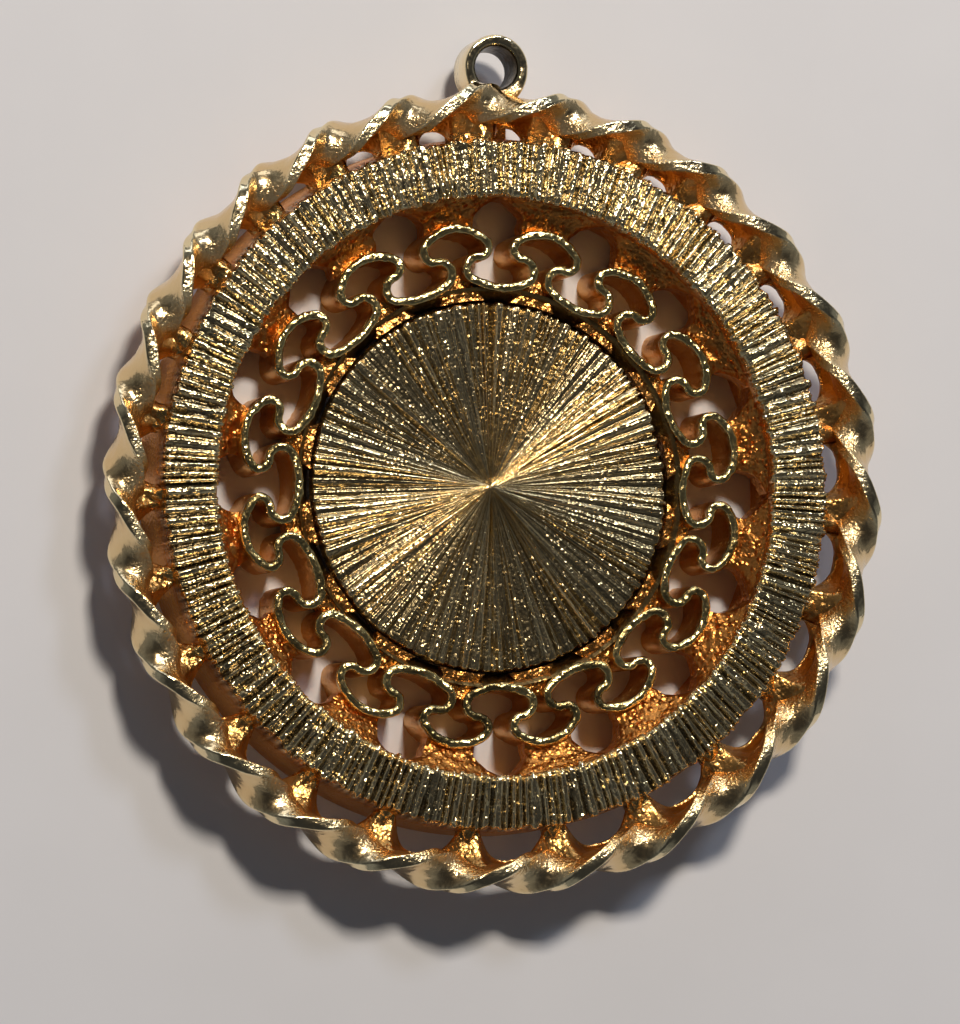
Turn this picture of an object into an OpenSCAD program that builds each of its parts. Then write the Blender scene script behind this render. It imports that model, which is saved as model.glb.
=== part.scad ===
// Pierced medallion pendant: a sunburst disc inside a scroll gallery, a ridged ring,
// a border of twisted ribbon and a cast hanging loop.
// It lies on its flat back, face up (+Z), with the loop towards +Y.
// The origin is the middle of the box's base. Angles run clockwise from +Y, seen from the front.

/* [Ridged ring] */
// Outer radius of the ring
ring_outer_r = 22.25; // [22:0.05:22.3]
// Inner radius of the ring at its face
ring_inner_r = 18.7; // [18.5:0.1:18.9]
// Height of the ring's face above the flat back
ring_top_z = 5.8; // [5.6:0.1:6.2]
// Number of radial grooves between the bars
groove_count = 150; // [90:1:160]
// Mean width of a groove
groove_w = 0.36; // [0.2:0.02:0.4]
// Mean depth of a groove
groove_depth = 0.34; // [0.15:0.01:0.5]

/* [Ribbon border] */
// Mean radius of the ribbon's centre line
rope_r = 24.7; // [24.6:0.02:24.8]
// Width of the ribbon where it lies flat
rope_flat_w = 2.5; // [2.3:0.05:2.6]
// Width of the ribbon where it stands upright
rope_tall_w = 3.36; // [3:0.02:3.4]
// Thickness of the ribbon along its edges
rope_edge_t = 0.76; // [0.6:0.02:0.9]
// Thickness of the ribbon in the middle of its width
rope_mid_t = 1.26; // [1:0.02:1.4]
// Height of the ribbon's centre line above the back
rope_z = 4.7; // [4.65:0.05:4.8]
// Number of half turns in the whole border
half_turns = 26; // [24:2:28]

/* [Scroll gallery] */
// Number of scrolls round the gallery
scroll_count = 16; // [14:1:16]
// Height of the gallery's wall
gallery_top_z = 3.9; // [3.6:0.1:4.2]
// Thickness of the gallery's wall
wall_t = 0.46; // [0.36:0.02:0.5]
// Radius from the centre to the top of each scroll's cap, on the wall's centre line
cap_top_r = 16.82; // [16.7:0.02:16.9]
// Radius from the centre to the bottom of each bowl, on the wall's centre line
bowl_r = 12.95; // [12.85:0.05:13]

/* [Sunburst disc] */
// Radius of the disc
disc_r = 12; // [11.8:0.05:12]
// Height of the ridges at the disc's rim
disc_top_z = 3.8; // [3.6:0.05:3.9]
// Height of the disc's middle, slightly dished
disc_middle_z = 3.35; // [3.1:0.05:3.8]
// Height of the disc's flat underside
disc_under_z = 2.6; // [2.4:0.05:2.7]
// Number of radial ridges
ray_count = 112; // [80:2:120]
// Mean depth between two ridges at the rim
ray_depth = 0.38; // [0.2:0.02:0.5]

/* [Hanging loop] */
// Radius of the hole for a jump ring
hole_r = 1.3; // [1.2:0.05:1.35]
// Outer radius of the loop
loop_r = 2.15; // [2:0.05:2.2]
// Radius from the disc's centre to the hole's axis
hole_centre_r = 27.15; // [27.1:0.05:27.3]
// Height of the loop's back face
loop_back_z = 1.9; // [1.8:0.1:2.1]
// Height of the loop's front face
loop_front_z = 4.75; // [4.4:0.05:4.9]

/* [Hidden] */

$fn = 96;
gold = "#c8a25a";
deep_gold = "#a9803c";
seat = 0.06;
cut = 0.5;

// Ridged ring
ring_edge_drop = 0.35;
ring_edge_w = 0.3;
ring_draft = 0.25;
groove_pitch = 360/groove_count;
groove_floor_share = 0.35;
groove_w_spread = 0.3;
groove_depth_spread = 0.35;
groove_place_spread = 0.26;

// Cap pads: sloping bridges from the ring down to each cap
pad_angle = 12;
pad_inner_z = 3.3;
pad_outer_z = 4.9;
pad_thick = 1.5;
pad_reach = 0.6;
pad_lip_drop = 0.4;
pad_overlap = 0.3;

// Webs: slanted lugs that reach under the flat stretches of the ribbon
web_w = 1.2;
web_under = 0.45;
web_thick = 0.9;
web_sink = 0.35;
web_slant = -30;
web_gap = 0.3;

// Ribbon: it lies a little off the ring's centre, and its twist runs uneven round the border
rope_lean = 0.3;
rope_lean_at = 138;
rope_start = 16.8;
rope_drift = 5.9;
rope_drift_at = 38;
rope_steps = 12;
rope_sections = half_turns*rope_steps;
rope_chamfer = 0.16;

// Scrolls: the caps crowd a little on one side
scroll_pitch = 360/scroll_count;
scroll_start = 11.3;
scroll_drift = 2.2;
scroll_drift_at = 8;
cap_arc_r = 2.8;
cap_arc_turn = 46;
cap_end_r = 0.66;
cap_end_turn = 143;
nose_turn = 155;
clockwise = -1;
anticlockwise = 1;

// Collar and rough pads inside the scrolls
collar_ledge_r = 11.2;
collar_back_z = 1.2;
collar_top_z = 3.4;
collar_trench_z = 2.7;
vee_base_w = 2.6;
vee_base_r = 12.4;
vee_tip_w = 0.9;
vee_tip_r = 13.8;
vee_top_z = 2.9;

// Sunburst: how uneven its ridges are in place, in height and in depth
ray_place_spread = 0.45;
ridge_height_spread = 0.12;
valley_depth_spread = 0.4;

// Loop
flare_r = 1.65;
flare_depth = 0.6;
leg_start_r = 24.15;
foot_w = 3.6;
foot_start_r = 21.25;
foot_end_r = 25.25;
foot_top_z = 2.85;
channel_gap = 0.07;

// A value from -1 to 1 that looks irregular from one whole number to the next
function uneven(i, seed) = sin(i*seed)*cos(i*seed*0.37 + 51);

// Twist of the ribbon at a clockwise angle: 0 is flat, 90 is upright
function twist(angle) =
    -180*(angle - rope_start + rope_drift*cos(angle - rope_drift_at))*half_turns/360;

// Radius of the ribbon's centre line at a clockwise angle
function rope_centre(angle) = rope_r + rope_lean*cos(angle - rope_lean_at);

// Outline of the ribbon's cross-section, anticlockwise, across and through: thickest in the middle
function ribbon_outline(w, edge_t, mid_t, c) = [
    [w/2, -edge_t/2 + c], [w/2, edge_t/2 - c], [w/2 - c, edge_t/2], [0, mid_t/2], [-w/2 + c, edge_t/2],
    [-w/2, edge_t/2 - c], [-w/2, -edge_t/2 + c], [-w/2 + c, -edge_t/2], [0, -mid_t/2], [w/2 - c, -edge_t/2]
];

// The outline turned to the twist at one angle and placed on the border
function ribbon_section(angle) =
    let (
        turn = twist(angle),
        w = norm([rope_flat_w*cos(turn), rope_tall_w*sin(turn)])
    )
    [for (p = ribbon_outline(w, rope_edge_t, rope_mid_t, rope_chamfer))
        let (r = rope_centre(angle) + p.x*cos(turn) - p.y*sin(turn))
        [r*sin(angle), r*cos(angle), rope_z + p.x*sin(turn) + p.y*cos(turn)]];

rope_corners = 10;
rope_points = [
    for (i = [0:rope_sections - 1], p = ribbon_section(360*i/rope_sections)) p
];
rope_faces = [
    for (i = [0:rope_sections - 1], j = [0:rope_corners - 1])
        let (
            a = i*rope_corners + j,
            b = i*rope_corners + (j + 1)%rope_corners,
            c = ((i + 1)%rope_sections)*rope_corners + (j + 1)%rope_corners,
            d = ((i + 1)%rope_sections)*rope_corners + j
        )
        each [[a, c, b], [a, d, c]]
];

// Middle of the box, measured from the disc's centre
box_middle_x = (max([for (p = rope_points) p.x]) + min([for (p = rope_points) p.x]))/2;
box_middle_y = (hole_centre_r + loop_r + min([for (p = rope_points) p.y]))/2;

// Way from an arc's start to its end for a radius of 1, from its heading and turn
function arc_way(heading, turn, side) =
    side*[sin(heading + side*turn) - sin(heading), cos(heading) - cos(heading + side*turn)];

// Half a scroll: from the top of a cap, round its end, back under it and down to the bowl.
// The last two radii follow from the bowl's place.
nose_heading = -cap_arc_turn - cap_end_turn;
bowl_heading = nose_heading + nose_turn;
bowl_turn = -scroll_pitch/2 - bowl_heading;
bowl_point = bowl_r*[sin(scroll_pitch/2), cos(scroll_pitch/2)];
way_left = bowl_point - [0, cap_top_r]
    - cap_arc_r*arc_way(0, cap_arc_turn, clockwise)
    - cap_end_r*arc_way(-cap_arc_turn, cap_end_turn, clockwise);
nose_way = arc_way(nose_heading, nose_turn, anticlockwise);
bowl_way = arc_way(bowl_heading, bowl_turn, anticlockwise);
way_area = nose_way.x*bowl_way.y - nose_way.y*bowl_way.x;
nose_r = (way_left.x*bowl_way.y - way_left.y*bowl_way.x)/way_area;
bowl_arc_r = (nose_way.x*way_left.y - nose_way.y*way_left.x)/way_area;

// Columns: radius, turn in degrees, side it turns to, number of chords
SCROLL_ARCS = [
    [cap_arc_r,  cap_arc_turn, clockwise,     4],
    [cap_end_r,  cap_end_turn, clockwise,     6],
    [nose_r,     nose_turn,    anticlockwise, 6],
    [bowl_arc_r, bowl_turn,    anticlockwise, 3]
];

// Start points and headings of the four arcs
function arc_starts(i = 0, at = [0, cap_top_r], heading = 0) =
    i == len(SCROLL_ARCS) ? [] :
    let (
        arc = SCROLL_ARCS[i],
        next = at + arc[0]*arc_way(heading, arc[1], arc[2])
    )
    concat([[at, heading]], arc_starts(i + 1, next, heading + arc[2]*arc[1]));

// Half a scroll as points, moved sideways off the centre line by a distance to the left
function half_scroll(off) =
    let (starts = arc_starts())
    [for (i = [0:len(SCROLL_ARCS) - 1], step = [0:SCROLL_ARCS[i][3] - 1])
        let (
            arc = SCROLL_ARCS[i],
            turned = arc[1]*step/arc[3],
            at = starts[i][0] + arc[0]*arc_way(starts[i][1], turned, arc[2]),
            heading = starts[i][1] + arc[2]*turned
        )
        at + off*[-sin(heading), cos(heading)]];

// Angle at which the pattern really stands, crowded a little on one side
function crowded(angle) = angle + scroll_drift*cos(angle - scroll_drift_at);

// A point of the first scroll carried to another one round the gallery
function carried(p, scroll) =
    let (
        r = norm(p),
        angle = crowded(atan2(p.x, p.y) + scroll_start + scroll*scroll_pitch)
    )
    [r*sin(angle), r*cos(angle)];

// Whole closed line round the gallery, clockwise, at a distance outside the wall's centre line
function gallery_line(off) =
    let (
        right = half_scroll(off),
        left = [for (p = right) [-p.x, p.y]],
        last = len(right) - 1,
        bowl = (bowl_r + off)*[sin(scroll_pitch/2), cos(scroll_pitch/2)]
    )
    [for (scroll = [0:scroll_count - 1])
        each concat(
            [for (i = [last:-1:1]) carried(left[i], scroll)],
            [for (i = [0:last]) carried(right[i], scroll)],
            [carried(bowl, scroll)]
        )];

// Places everything so that the origin is the middle of the box's base
module on_base() {
    translate([-box_middle_x, -box_middle_y, 0]) children();
}

// Turns a child that stands on +Y to a clockwise angle
module at_angle(angle) {
    rotate([0, 0, -angle]) children();
}

module rope_border() {
    color(gold) on_base()
        polyhedron(points = rope_points, faces = rope_faces, convexity = 6);
}

// Plain section of the ring: flat back, slightly drafted inside, softened face edges
module ring_body() {
    rotate_extrude($fn = 180)
        polygon([
            [ring_inner_r + ring_draft, 0],
            [ring_outer_r, 0],
            [ring_outer_r, ring_top_z - ring_edge_drop],
            [ring_outer_r - ring_edge_w, ring_top_z],
            [ring_inner_r + ring_edge_w, ring_top_z],
            [ring_inner_r, ring_top_z - ring_edge_drop]
        ]);
}

// One radial groove with sloping sides, open at both ends
module groove(i) {
    w = groove_w*(1 + groove_w_spread*uneven(i, 61));
    depth = groove_depth*(1 + groove_depth_spread*uneven(i, 83));
    floor_w = w*groove_floor_share;
    length = ring_outer_r - ring_inner_r + 2*cut;
    at_angle(groove_pitch*(i + groove_place_spread*uneven(i, 97)))
        translate([0, ring_outer_r + cut, ring_top_z])
            rotate([90, 0, 0])
                linear_extrude(length)
                    polygon([[-w/2, cut/5], [-floor_w/2, -depth], [floor_w/2, -depth], [w/2, cut/5]]);
}

// Sloping pad from the ring's inside down to the outer wall of one cap
module cap_pad(angle) {
    cap_middle_r = cap_top_r - cap_arc_r;
    inner_r = cap_top_r - pad_reach;
    outer_r = ring_inner_r + pad_overlap;
    at_angle(angle)
        difference() {
            rotate([0, 0, 90 - pad_angle/2])
                rotate_extrude(angle = pad_angle)
                    polygon([
                        [inner_r, pad_inner_z - pad_thick],
                        [outer_r, pad_outer_z - pad_thick],
                        [outer_r, pad_outer_z],
                        [inner_r, pad_inner_z - pad_lip_drop]
                    ]);
            translate([0, cap_middle_r, -cut])
                cylinder(r = cap_arc_r + wall_t/2 + seat, h = ring_top_z + cut);
        }
}

// Lug on the ring's outer wall, slanted like the ribbon edge that lies on it
module web(angle) {
    web_end_r = rope_centre(angle) - rope_flat_w/2 + web_under;
    at_angle(angle)
        translate([0, ring_outer_r - web_sink, rope_z])
            rotate([0, web_slant, 0])
                translate([-web_w/2, 0, -rope_edge_t/2 - web_gap - web_thick])
                    cube([web_w, web_end_r - ring_outer_r + web_sink, web_thick]);
}

// Clockwise angles at which the ribbon lies flat
function flat_angle(i) =
    let (plain = rope_start + 360*i/half_turns)
    plain - rope_drift*cos(plain - rope_drift*cos(plain - rope_drift_at) - rope_drift_at);

module ridged_ring() {
    color(gold) on_base() {
        difference() {
            ring_body();
            for (i = [0:groove_count - 1]) groove(i);
        }
        for (scroll = [0:scroll_count - 1]) cap_pad(crowded(scroll_start + scroll*scroll_pitch));
        for (i = [0:half_turns - 1]) web(flat_angle(i));
    }
}

// Upright wall that runs round as linked scrolls
module scroll_wall() {
    outer = gallery_line(wall_t/2);
    inner = gallery_line(-wall_t/2);
    linear_extrude(gallery_top_z)
        difference() {
            polygon(outer);
            polygon(inner);
        }
}

// Collar that slopes from the bowls down to the disc, with the ledge that the disc sits on
module collar() {
    translate([0, 0, collar_back_z])
        rotate_extrude()
            polygon([
                [collar_ledge_r, 0],
                [bowl_r, 0],
                [bowl_r, collar_top_z - collar_back_z],
                [disc_r + seat, collar_trench_z - collar_back_z],
                [disc_r + seat, disc_under_z - seat - collar_back_z],
                [collar_ledge_r, disc_under_z - seat - collar_back_z]
            ]);
}

// Rough pad in the vee between two bowls
module vee_pad(angle) {
    at_angle(angle)
        translate([0, 0, collar_back_z])
            linear_extrude(vee_top_z - collar_back_z)
                polygon([
                    [-vee_base_w/2, vee_base_r], [-vee_tip_w/2, vee_tip_r],
                    [vee_tip_w/2, vee_tip_r], [vee_base_w/2, vee_base_r]
                ]);
}

module scroll_gallery() {
    color(deep_gold) on_base() {
        scroll_wall();
        collar();
        for (scroll = [0:scroll_count - 1]) vee_pad(crowded(scroll_start + scroll*scroll_pitch));
    }
}

// Rim point of the sunburst: even ones are ridges, odd ones are the valleys between them
function ray_point(i) =
    let (
        ridge = i%2 == 0,
        angle = 180*(i + ray_place_spread*uneven(i, 71))/ray_count,
        z = ridge ? disc_top_z - ridge_height_spread*ray_depth*(1 + uneven(i, 43))
                  : disc_top_z - ray_depth*(1 + valley_depth_spread*uneven(i, 57))
    )
    [disc_r*sin(angle), disc_r*cos(angle), z];

module sunburst_disc() {
    rim_count = 2*ray_count;
    rim = [for (i = [0:rim_count - 1]) ray_point(i)];
    under = [for (p = rim) [p.x, p.y, disc_under_z]];
    middle = 2*rim_count;
    under_middle = middle + 1;
    points = concat(rim, under, [[0, 0, disc_middle_z], [0, 0, disc_under_z]]);
    faces = [
        for (i = [0:rim_count - 1])
            let (next = (i + 1)%rim_count)
            each [
                [middle, i, next],
                [i, rim_count + i, rim_count + next],
                [i, rim_count + next, next],
                [under_middle, rim_count + next, rim_count + i]
            ]
    ];
    color(gold) on_base() polyhedron(points = points, faces = faces, convexity = 4);
}

// Round head of the loop, with its legs down to the foot
module loop_head() {
    translate([0, hole_centre_r, loop_back_z])
        cylinder(r = loop_r, h = loop_front_z - loop_back_z);
    translate([-loop_r, leg_start_r, loop_back_z])
        cube([2*loop_r, hole_centre_r - leg_start_r, loop_front_z - loop_back_z]);
}

// Foot under the ribbon, from the ring's outer wall to the loop
module loop_foot() {
    intersection() {
        translate([-foot_w/2, foot_start_r, loop_back_z])
            cube([foot_w, foot_end_r - foot_start_r, foot_top_z - loop_back_z]);
        difference() {
            cylinder(r = foot_end_r + cut, h = ring_top_z);
            translate([0, 0, -cut]) cylinder(r = ring_outer_r + seat, h = ring_top_z + 2*cut);
        }
    }
}

// Tall channel that the turning ribbon passes through
module ribbon_channel() {
    half_w = norm([rope_flat_w, rope_edge_t])/2 + 2*channel_gap;
    half_h = rope_tall_w/2 + channel_gap;
    rotate_extrude()
        translate([rope_centre(0), rope_z])
            polygon([
                [-half_w, -half_h/2], [-half_w/2, -half_h], [half_w/2, -half_h], [half_w, -half_h/2],
                [half_w, half_h], [-half_w, half_h]
            ]);
}

module hanging_loop() {
    color(gold) on_base()
        difference() {
            union() {
                loop_head();
                loop_foot();
            }
            translate([0, hole_centre_r, loop_back_z - cut])
                cylinder(r = hole_r, h = loop_front_z - loop_back_z + 2*cut);
            translate([0, hole_centre_r, loop_front_z - flare_depth])
                cylinder(r1 = hole_r, r2 = flare_r, h = flare_depth);
            ribbon_channel();
        }
}

rope_border();
ridged_ring();
scroll_gallery();
sunburst_disc();
hanging_loop();
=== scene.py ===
"""Pierced medallion pendant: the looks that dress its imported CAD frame.

Sizes are in millimetres and turn to Blender's metres through MM. The pendant lies face up on a pale
table, its loop towards +Y. Angles are degrees clockwise from +Y, as seen from the front.
"""

import logging
import math
from collections.abc import Callable, Iterator
from contextlib import contextmanager
from dataclasses import dataclass, field
from enum import Enum, IntEnum

import bmesh
import bpy
import numpy as np
from mathutils import Matrix, Vector, noise

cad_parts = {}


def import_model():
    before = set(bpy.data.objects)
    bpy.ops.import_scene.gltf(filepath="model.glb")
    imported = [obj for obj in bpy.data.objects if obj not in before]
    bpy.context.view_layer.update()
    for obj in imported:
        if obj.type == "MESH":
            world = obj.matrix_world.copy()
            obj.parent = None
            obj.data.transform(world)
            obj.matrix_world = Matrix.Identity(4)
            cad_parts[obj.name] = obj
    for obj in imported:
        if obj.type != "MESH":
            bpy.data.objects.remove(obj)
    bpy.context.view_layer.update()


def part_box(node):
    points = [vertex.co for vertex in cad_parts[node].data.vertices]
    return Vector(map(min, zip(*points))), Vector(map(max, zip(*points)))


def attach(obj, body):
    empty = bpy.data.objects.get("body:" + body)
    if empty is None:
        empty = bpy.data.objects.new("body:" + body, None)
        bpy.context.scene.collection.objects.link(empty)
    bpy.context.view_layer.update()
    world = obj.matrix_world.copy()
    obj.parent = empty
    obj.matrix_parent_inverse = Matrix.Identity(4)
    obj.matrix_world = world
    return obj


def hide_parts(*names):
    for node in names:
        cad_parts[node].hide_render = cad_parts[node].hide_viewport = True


MM = 0.001
FULL_TURN = 360.0
HALF_TURN = 180.0
# How near to a plane, in millimetres, a vertex counts as lying on it.
NEAR = 0.01
# Blender's noise mostly stays in this range, so a bump through it is doubled to reach its full depth.
NOISE_LOW, NOISE_HIGH = 0.35, 0.65
NOISE_SWING = 2
BODY = "root"
LOG = logging.getLogger("pendant")

Points = np.ndarray
Rule = Callable[[Points], Points]
Socket = bpy.types.NodeSocket


class Slot(Enum):
    """The record's material slots."""

    RIBBON = "ribbon_gold"
    BARRED = "barred_gold"
    GALLERY = "gallery_gold"
    SUNBURST = "sunburst_gold"
    LOOP = "loop_gold"


class Side(IntEnum):
    """The side that an arc turns to."""

    CLOCKWISE = -1
    ANTICLOCKWISE = 1


def to_linear(code: str) -> tuple[float, float, float, float]:
    """Turns an sRGB hex value into a linear colour.

    Args:
        code: six hex digits, such as "E9C27A".

    Returns:
        Linear red, green, blue and an alpha of 1.
    """
    parts = [int(code[i:i + 2], 16)/255 for i in (0, 2, 4)]
    red, green, blue = (p/12.92 if p <= 0.04045 else ((p + 0.055)/1.055)**2.4 for p in parts)
    return red, green, blue, 1.0


def angle_of(places: Points) -> Points:
    """Returns each place's angle in degrees, clockwise from +Y, from 0 to 360."""
    return np.degrees(np.arctan2(places[:, 0], places[:, 1])) % FULL_TURN


def radius_of(places: Points) -> Points:
    """Returns each place's distance from the pendant's axis."""
    return np.hypot(places[:, 0], places[:, 1])


def polar(angle: Points, radius: Points, height: Points) -> Points:
    """Returns places from their angles in degrees, radii and heights."""
    turn = np.radians(angle)
    return np.stack([radius*np.sin(turn), radius*np.cos(turn), height*np.ones_like(turn)], axis=1)


def blend(low: float, high: float, value: Points) -> Points:
    """Returns a smooth step from 0 at low to 1 at high."""
    share = np.clip((value - low)/(high - low), 0, 1)
    return share*share*(3 - 2*share)


def off_angle(angle: Points, middle: float) -> Points:
    """Returns how far each angle lies from a middle one, from -180 to 180 degrees."""
    return (angle - middle + HALF_TURN) % FULL_TURN - HALF_TURN


def toward(angle: Points, middle: float = 0.0) -> Points:
    """Returns 1 at the middle angle, 0 a quarter turn off it and -1 on the far side."""
    return np.cos(np.radians(angle - middle))


def flattened(places: Points) -> Points:
    """Returns each place moved straight down to the table."""
    return places*np.array([1, 1, 0])


@dataclass(frozen=True)
class Lumps:
    """One layer of the casting's unevenness.

    Attributes:
        depth: how far the lumps stand out, in millimetres unless its field says otherwise.
        size: size of one lump in millimetres.
        seed: shifts the noise, so that two layers differ.
    """

    depth: float
    size: float
    seed: int

    def grain(self, places: Points, number: int = 0) -> Points:
        """Returns smooth noise from about -1 to 1 at each place.

        Args:
            places: places in millimetres.
            number: the piece's number, which shifts the noise from one copy to the next.

        Returns:
            One value for each place.
        """
        seed = self.seed + number
        shift = Vector((seed, -seed, 0.7*seed))
        return np.array([noise.noise(Vector(p)/self.size + shift) for p in places])

    def over(self, places: Points, number: int = 0) -> Points:
        """Returns how far the lumps stand out at each place."""
        return self.depth*self.grain(places, number)

    def share(self, places: Points) -> Points:
        """Returns the noise as a share from about 0 to 1 at each place."""
        return 0.5 + 0.5*self.grain(places)


@dataclass(frozen=True)
class Bench:
    """The pendant's axis, and the tools that every sub-assembly is shaped with."""

    centre: Vector

    @classmethod
    def from_frame(cls) -> "Bench":
        """Returns a bench whose axis stands through the middle of the sunburst disc."""
        low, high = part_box("sunburst_disc")
        return cls(Vector(((low.x + high.x)/2, (low.y + high.y)/2, 0.0)))

    def at(self, x: float, y: float, z: float) -> Vector:
        """Returns a place in metres from millimetres measured from the axis."""
        return self.centre + Vector((x, y, z))*MM

    def claim(self, name: str) -> bpy.types.Object:
        """Names the object that was just added and puts its place into its mesh.

        Args:
            name: its new name.

        Returns:
            The named object.
        """
        piece = bpy.context.active_object
        piece.name = piece.data.name = name
        bpy.ops.object.transform_apply(location=True, rotation=True, scale=True)
        return piece

    def add_section(self, name: str, radius: float, height: float, width: float,
                    rise: float) -> bpy.types.Object:
        """Adds the outline of an upright rectangle that stands across +Y, to be spun.

        Args:
            name: name of the new piece.
            radius: distance of its middle from the axis.
            height: height of its middle above the table.
            width: its size along the radius.
            rise: its upright size.

        Returns:
            The new piece, which has edges and no face.
        """
        bpy.ops.object.select_all(action="DESELECT")
        bpy.ops.mesh.primitive_plane_add(size=MM, location=self.at(0, radius, height),
                                         rotation=(0, math.radians(90), 0))
        bpy.context.active_object.scale = (rise, width, 1)
        section = self.claim(name)
        with self.editing(section):
            bpy.ops.mesh.select_all(action="SELECT")
            bpy.ops.mesh.delete(type="ONLY_FACE")
        return section

    def add_block(self, name: str, cuts: int) -> bpy.types.Object:
        """Adds a cube of one millimetre round the axis, cut into a grid, to be reshaped.

        Args:
            name: name of the new piece.
            cuts: number of cuts along each edge.

        Returns:
            The new piece.
        """
        bpy.ops.object.select_all(action="DESELECT")
        bpy.ops.mesh.primitive_cube_add(size=MM, location=self.centre)
        block = self.claim(name)
        with self.editing(block):
            bpy.ops.mesh.select_all(action="SELECT")
            bpy.ops.mesh.subdivide(number_cuts=cuts)
        return block

    def select(self, piece: bpy.types.Object) -> None:
        """Selects one piece alone and makes it the active one.

        Args:
            piece: the piece to select.
        """
        bpy.ops.object.select_all(action="DESELECT")
        piece.select_set(True)
        bpy.context.view_layer.objects.active = piece

    @contextmanager
    def editing(self, piece: bpy.types.Object) -> Iterator[None]:
        """Puts one piece into edit mode with vertex selection, and takes it out again.

        Args:
            piece: the piece to edit.

        Yields:
            Nothing: the piece is in edit mode meanwhile.
        """
        self.select(piece)
        bpy.ops.object.mode_set(mode="EDIT")
        bpy.ops.mesh.select_mode(type="VERT")
        yield
        bpy.ops.object.mode_set(mode="OBJECT")

    def pick(self, piece: bpy.types.Object, wanted: Callable[[Vector], bool]) -> None:
        """Selects the vertices of a piece in edit mode whose place is wanted.

        Args:
            piece: the piece that is in edit mode.
            wanted: test on a place in millimetres, measured from the axis.
        """
        mesh = bmesh.from_edit_mesh(piece.data)
        for vertex in mesh.verts:
            vertex.select = False
        mesh.select_flush(False)
        for vertex in mesh.verts:
            vertex.select = wanted((vertex.co - self.centre)/MM)
        mesh.select_flush(True)
        bmesh.update_edit_mesh(piece.data)

    def spin(self, steps: int, degrees: float, about: tuple[float, float] = (0.0, 0.0)) -> None:
        """Spins what is selected clockwise round an upright axis.

        Args:
            steps: number of steps.
            degrees: angle of the spin, clockwise as seen from the front.
            about: place of the axis in millimetres from the pendant's own.
        """
        bpy.ops.mesh.spin(steps=steps, angle=math.radians(degrees), center=self.at(*about, 0.0),
                          axis=(0, 0, 1))

    def revolve(self, section: bpy.types.Object, steps: int, sectors: int) -> bpy.types.Object:
        """Spins an upright section into one sector and copies the sector round the pendant's axis.

        Args:
            section: the section, which stands across +Y.
            steps: number of steps of the whole turn.
            sectors: number of sectors, which divides the steps.

        Returns:
            The closed round piece.
        """
        name, sector = section.name, FULL_TURN/sectors
        with self.editing(section):
            bpy.ops.mesh.select_all(action="SELECT")
            self.spin(steps//sectors, sector)
        pieces = [section]
        for number in range(1, sectors):
            pieces.append(self.copy(section, f"{name}_{number}"))
            turn = number*sector
            self.reshape(pieces[-1], lambda p, t=turn: polar(angle_of(p) + t, radius_of(p), p[:, 2]))
        whole = self.join(pieces, name)
        self.close_up(whole)
        return whole

    def close_up(self, piece: bpy.types.Object, reach: float = 0.002) -> None:
        """Merges doubled vertices and turns the faces outwards.

        Args:
            piece: the piece to close.
            reach: merging distance in millimetres.
        """
        with self.editing(piece):
            bpy.ops.mesh.select_all(action="SELECT")
            bpy.ops.mesh.remove_doubles(threshold=reach*MM)
            bpy.ops.mesh.normals_make_consistent(inside=False)

    def places(self, piece: bpy.types.Object) -> Points:
        """Reads the vertices of a piece.

        Args:
            piece: the piece to read.

        Returns:
            One place for each vertex, in millimetres from the axis.
        """
        flat = np.empty(3*len(piece.data.vertices))
        piece.data.vertices.foreach_get("co", flat)
        return (flat.reshape(-1, 3) - np.array(self.centre))/MM

    def normals(self, piece: bpy.types.Object) -> Points:
        """Reads which way the vertices of a piece face.

        Args:
            piece: the piece to read.

        Returns:
            One direction of length 1 for each vertex.
        """
        flat = np.empty(3*len(piece.data.vertices))
        piece.data.vertices.foreach_get("normal", flat)
        return flat.reshape(-1, 3)

    def reshape(self, piece: bpy.types.Object, rule: Rule) -> None:
        """Moves every vertex of a piece by a rule.

        Args:
            piece: the piece to move.
            rule: gives the new places from the old ones, in millimetres from the axis.
        """
        moved = rule(self.places(piece))*MM + np.array(self.centre)
        piece.data.vertices.foreach_set("co", moved.ravel())
        piece.data.update()

    def note(self, piece: bpy.types.Object, name: str, values: Points | float) -> None:
        """Stores a value for each vertex, or one value for all, which a finish can read."""
        attribute = piece.data.attributes.new(name, "FLOAT", "POINT")
        attribute.data.foreach_set("value", np.full(len(piece.data.vertices), values, dtype=np.float32))

    def copy(self, piece: bpy.types.Object, name: str) -> bpy.types.Object:
        """Copies a piece, with a mesh of its own.

        Args:
            piece: the piece to copy.
            name: name of the copy.

        Returns:
            The copy.
        """
        twin = bpy.data.objects.new(name, piece.data.copy())
        bpy.context.scene.collection.objects.link(twin)
        return twin

    def join(self, pieces: list[bpy.types.Object], name: str) -> bpy.types.Object:
        """Joins several pieces into one mesh.

        Args:
            pieces: the pieces, of which the first takes in the others.
            name: name of the joined piece.

        Returns:
            The joined piece.
        """
        self.select(pieces[0])
        for piece in pieces[1:]:
            piece.select_set(True)
        bpy.ops.object.join()
        pieces[0].name = pieces[0].data.name = name
        return pieces[0]

    def lay(self, pattern: bpy.types.Object, rules: list[Rule], name: str) -> bpy.types.Object:
        """Copies a pattern piece once for each rule, moves each copy by its rule and joins them.

        Args:
            pattern: the piece that repeats, which is used up.
            rules: one rule for each copy.
            name: name of the joined piece.

        Returns:
            The joined piece.
        """
        copies = []
        for number, rule in enumerate(rules):
            copies.append(self.copy(pattern, f"{pattern.name}_{number}"))
            self.reshape(copies[-1], rule)
        bpy.data.objects.remove(pattern)
        return self.join(copies, name)

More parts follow.
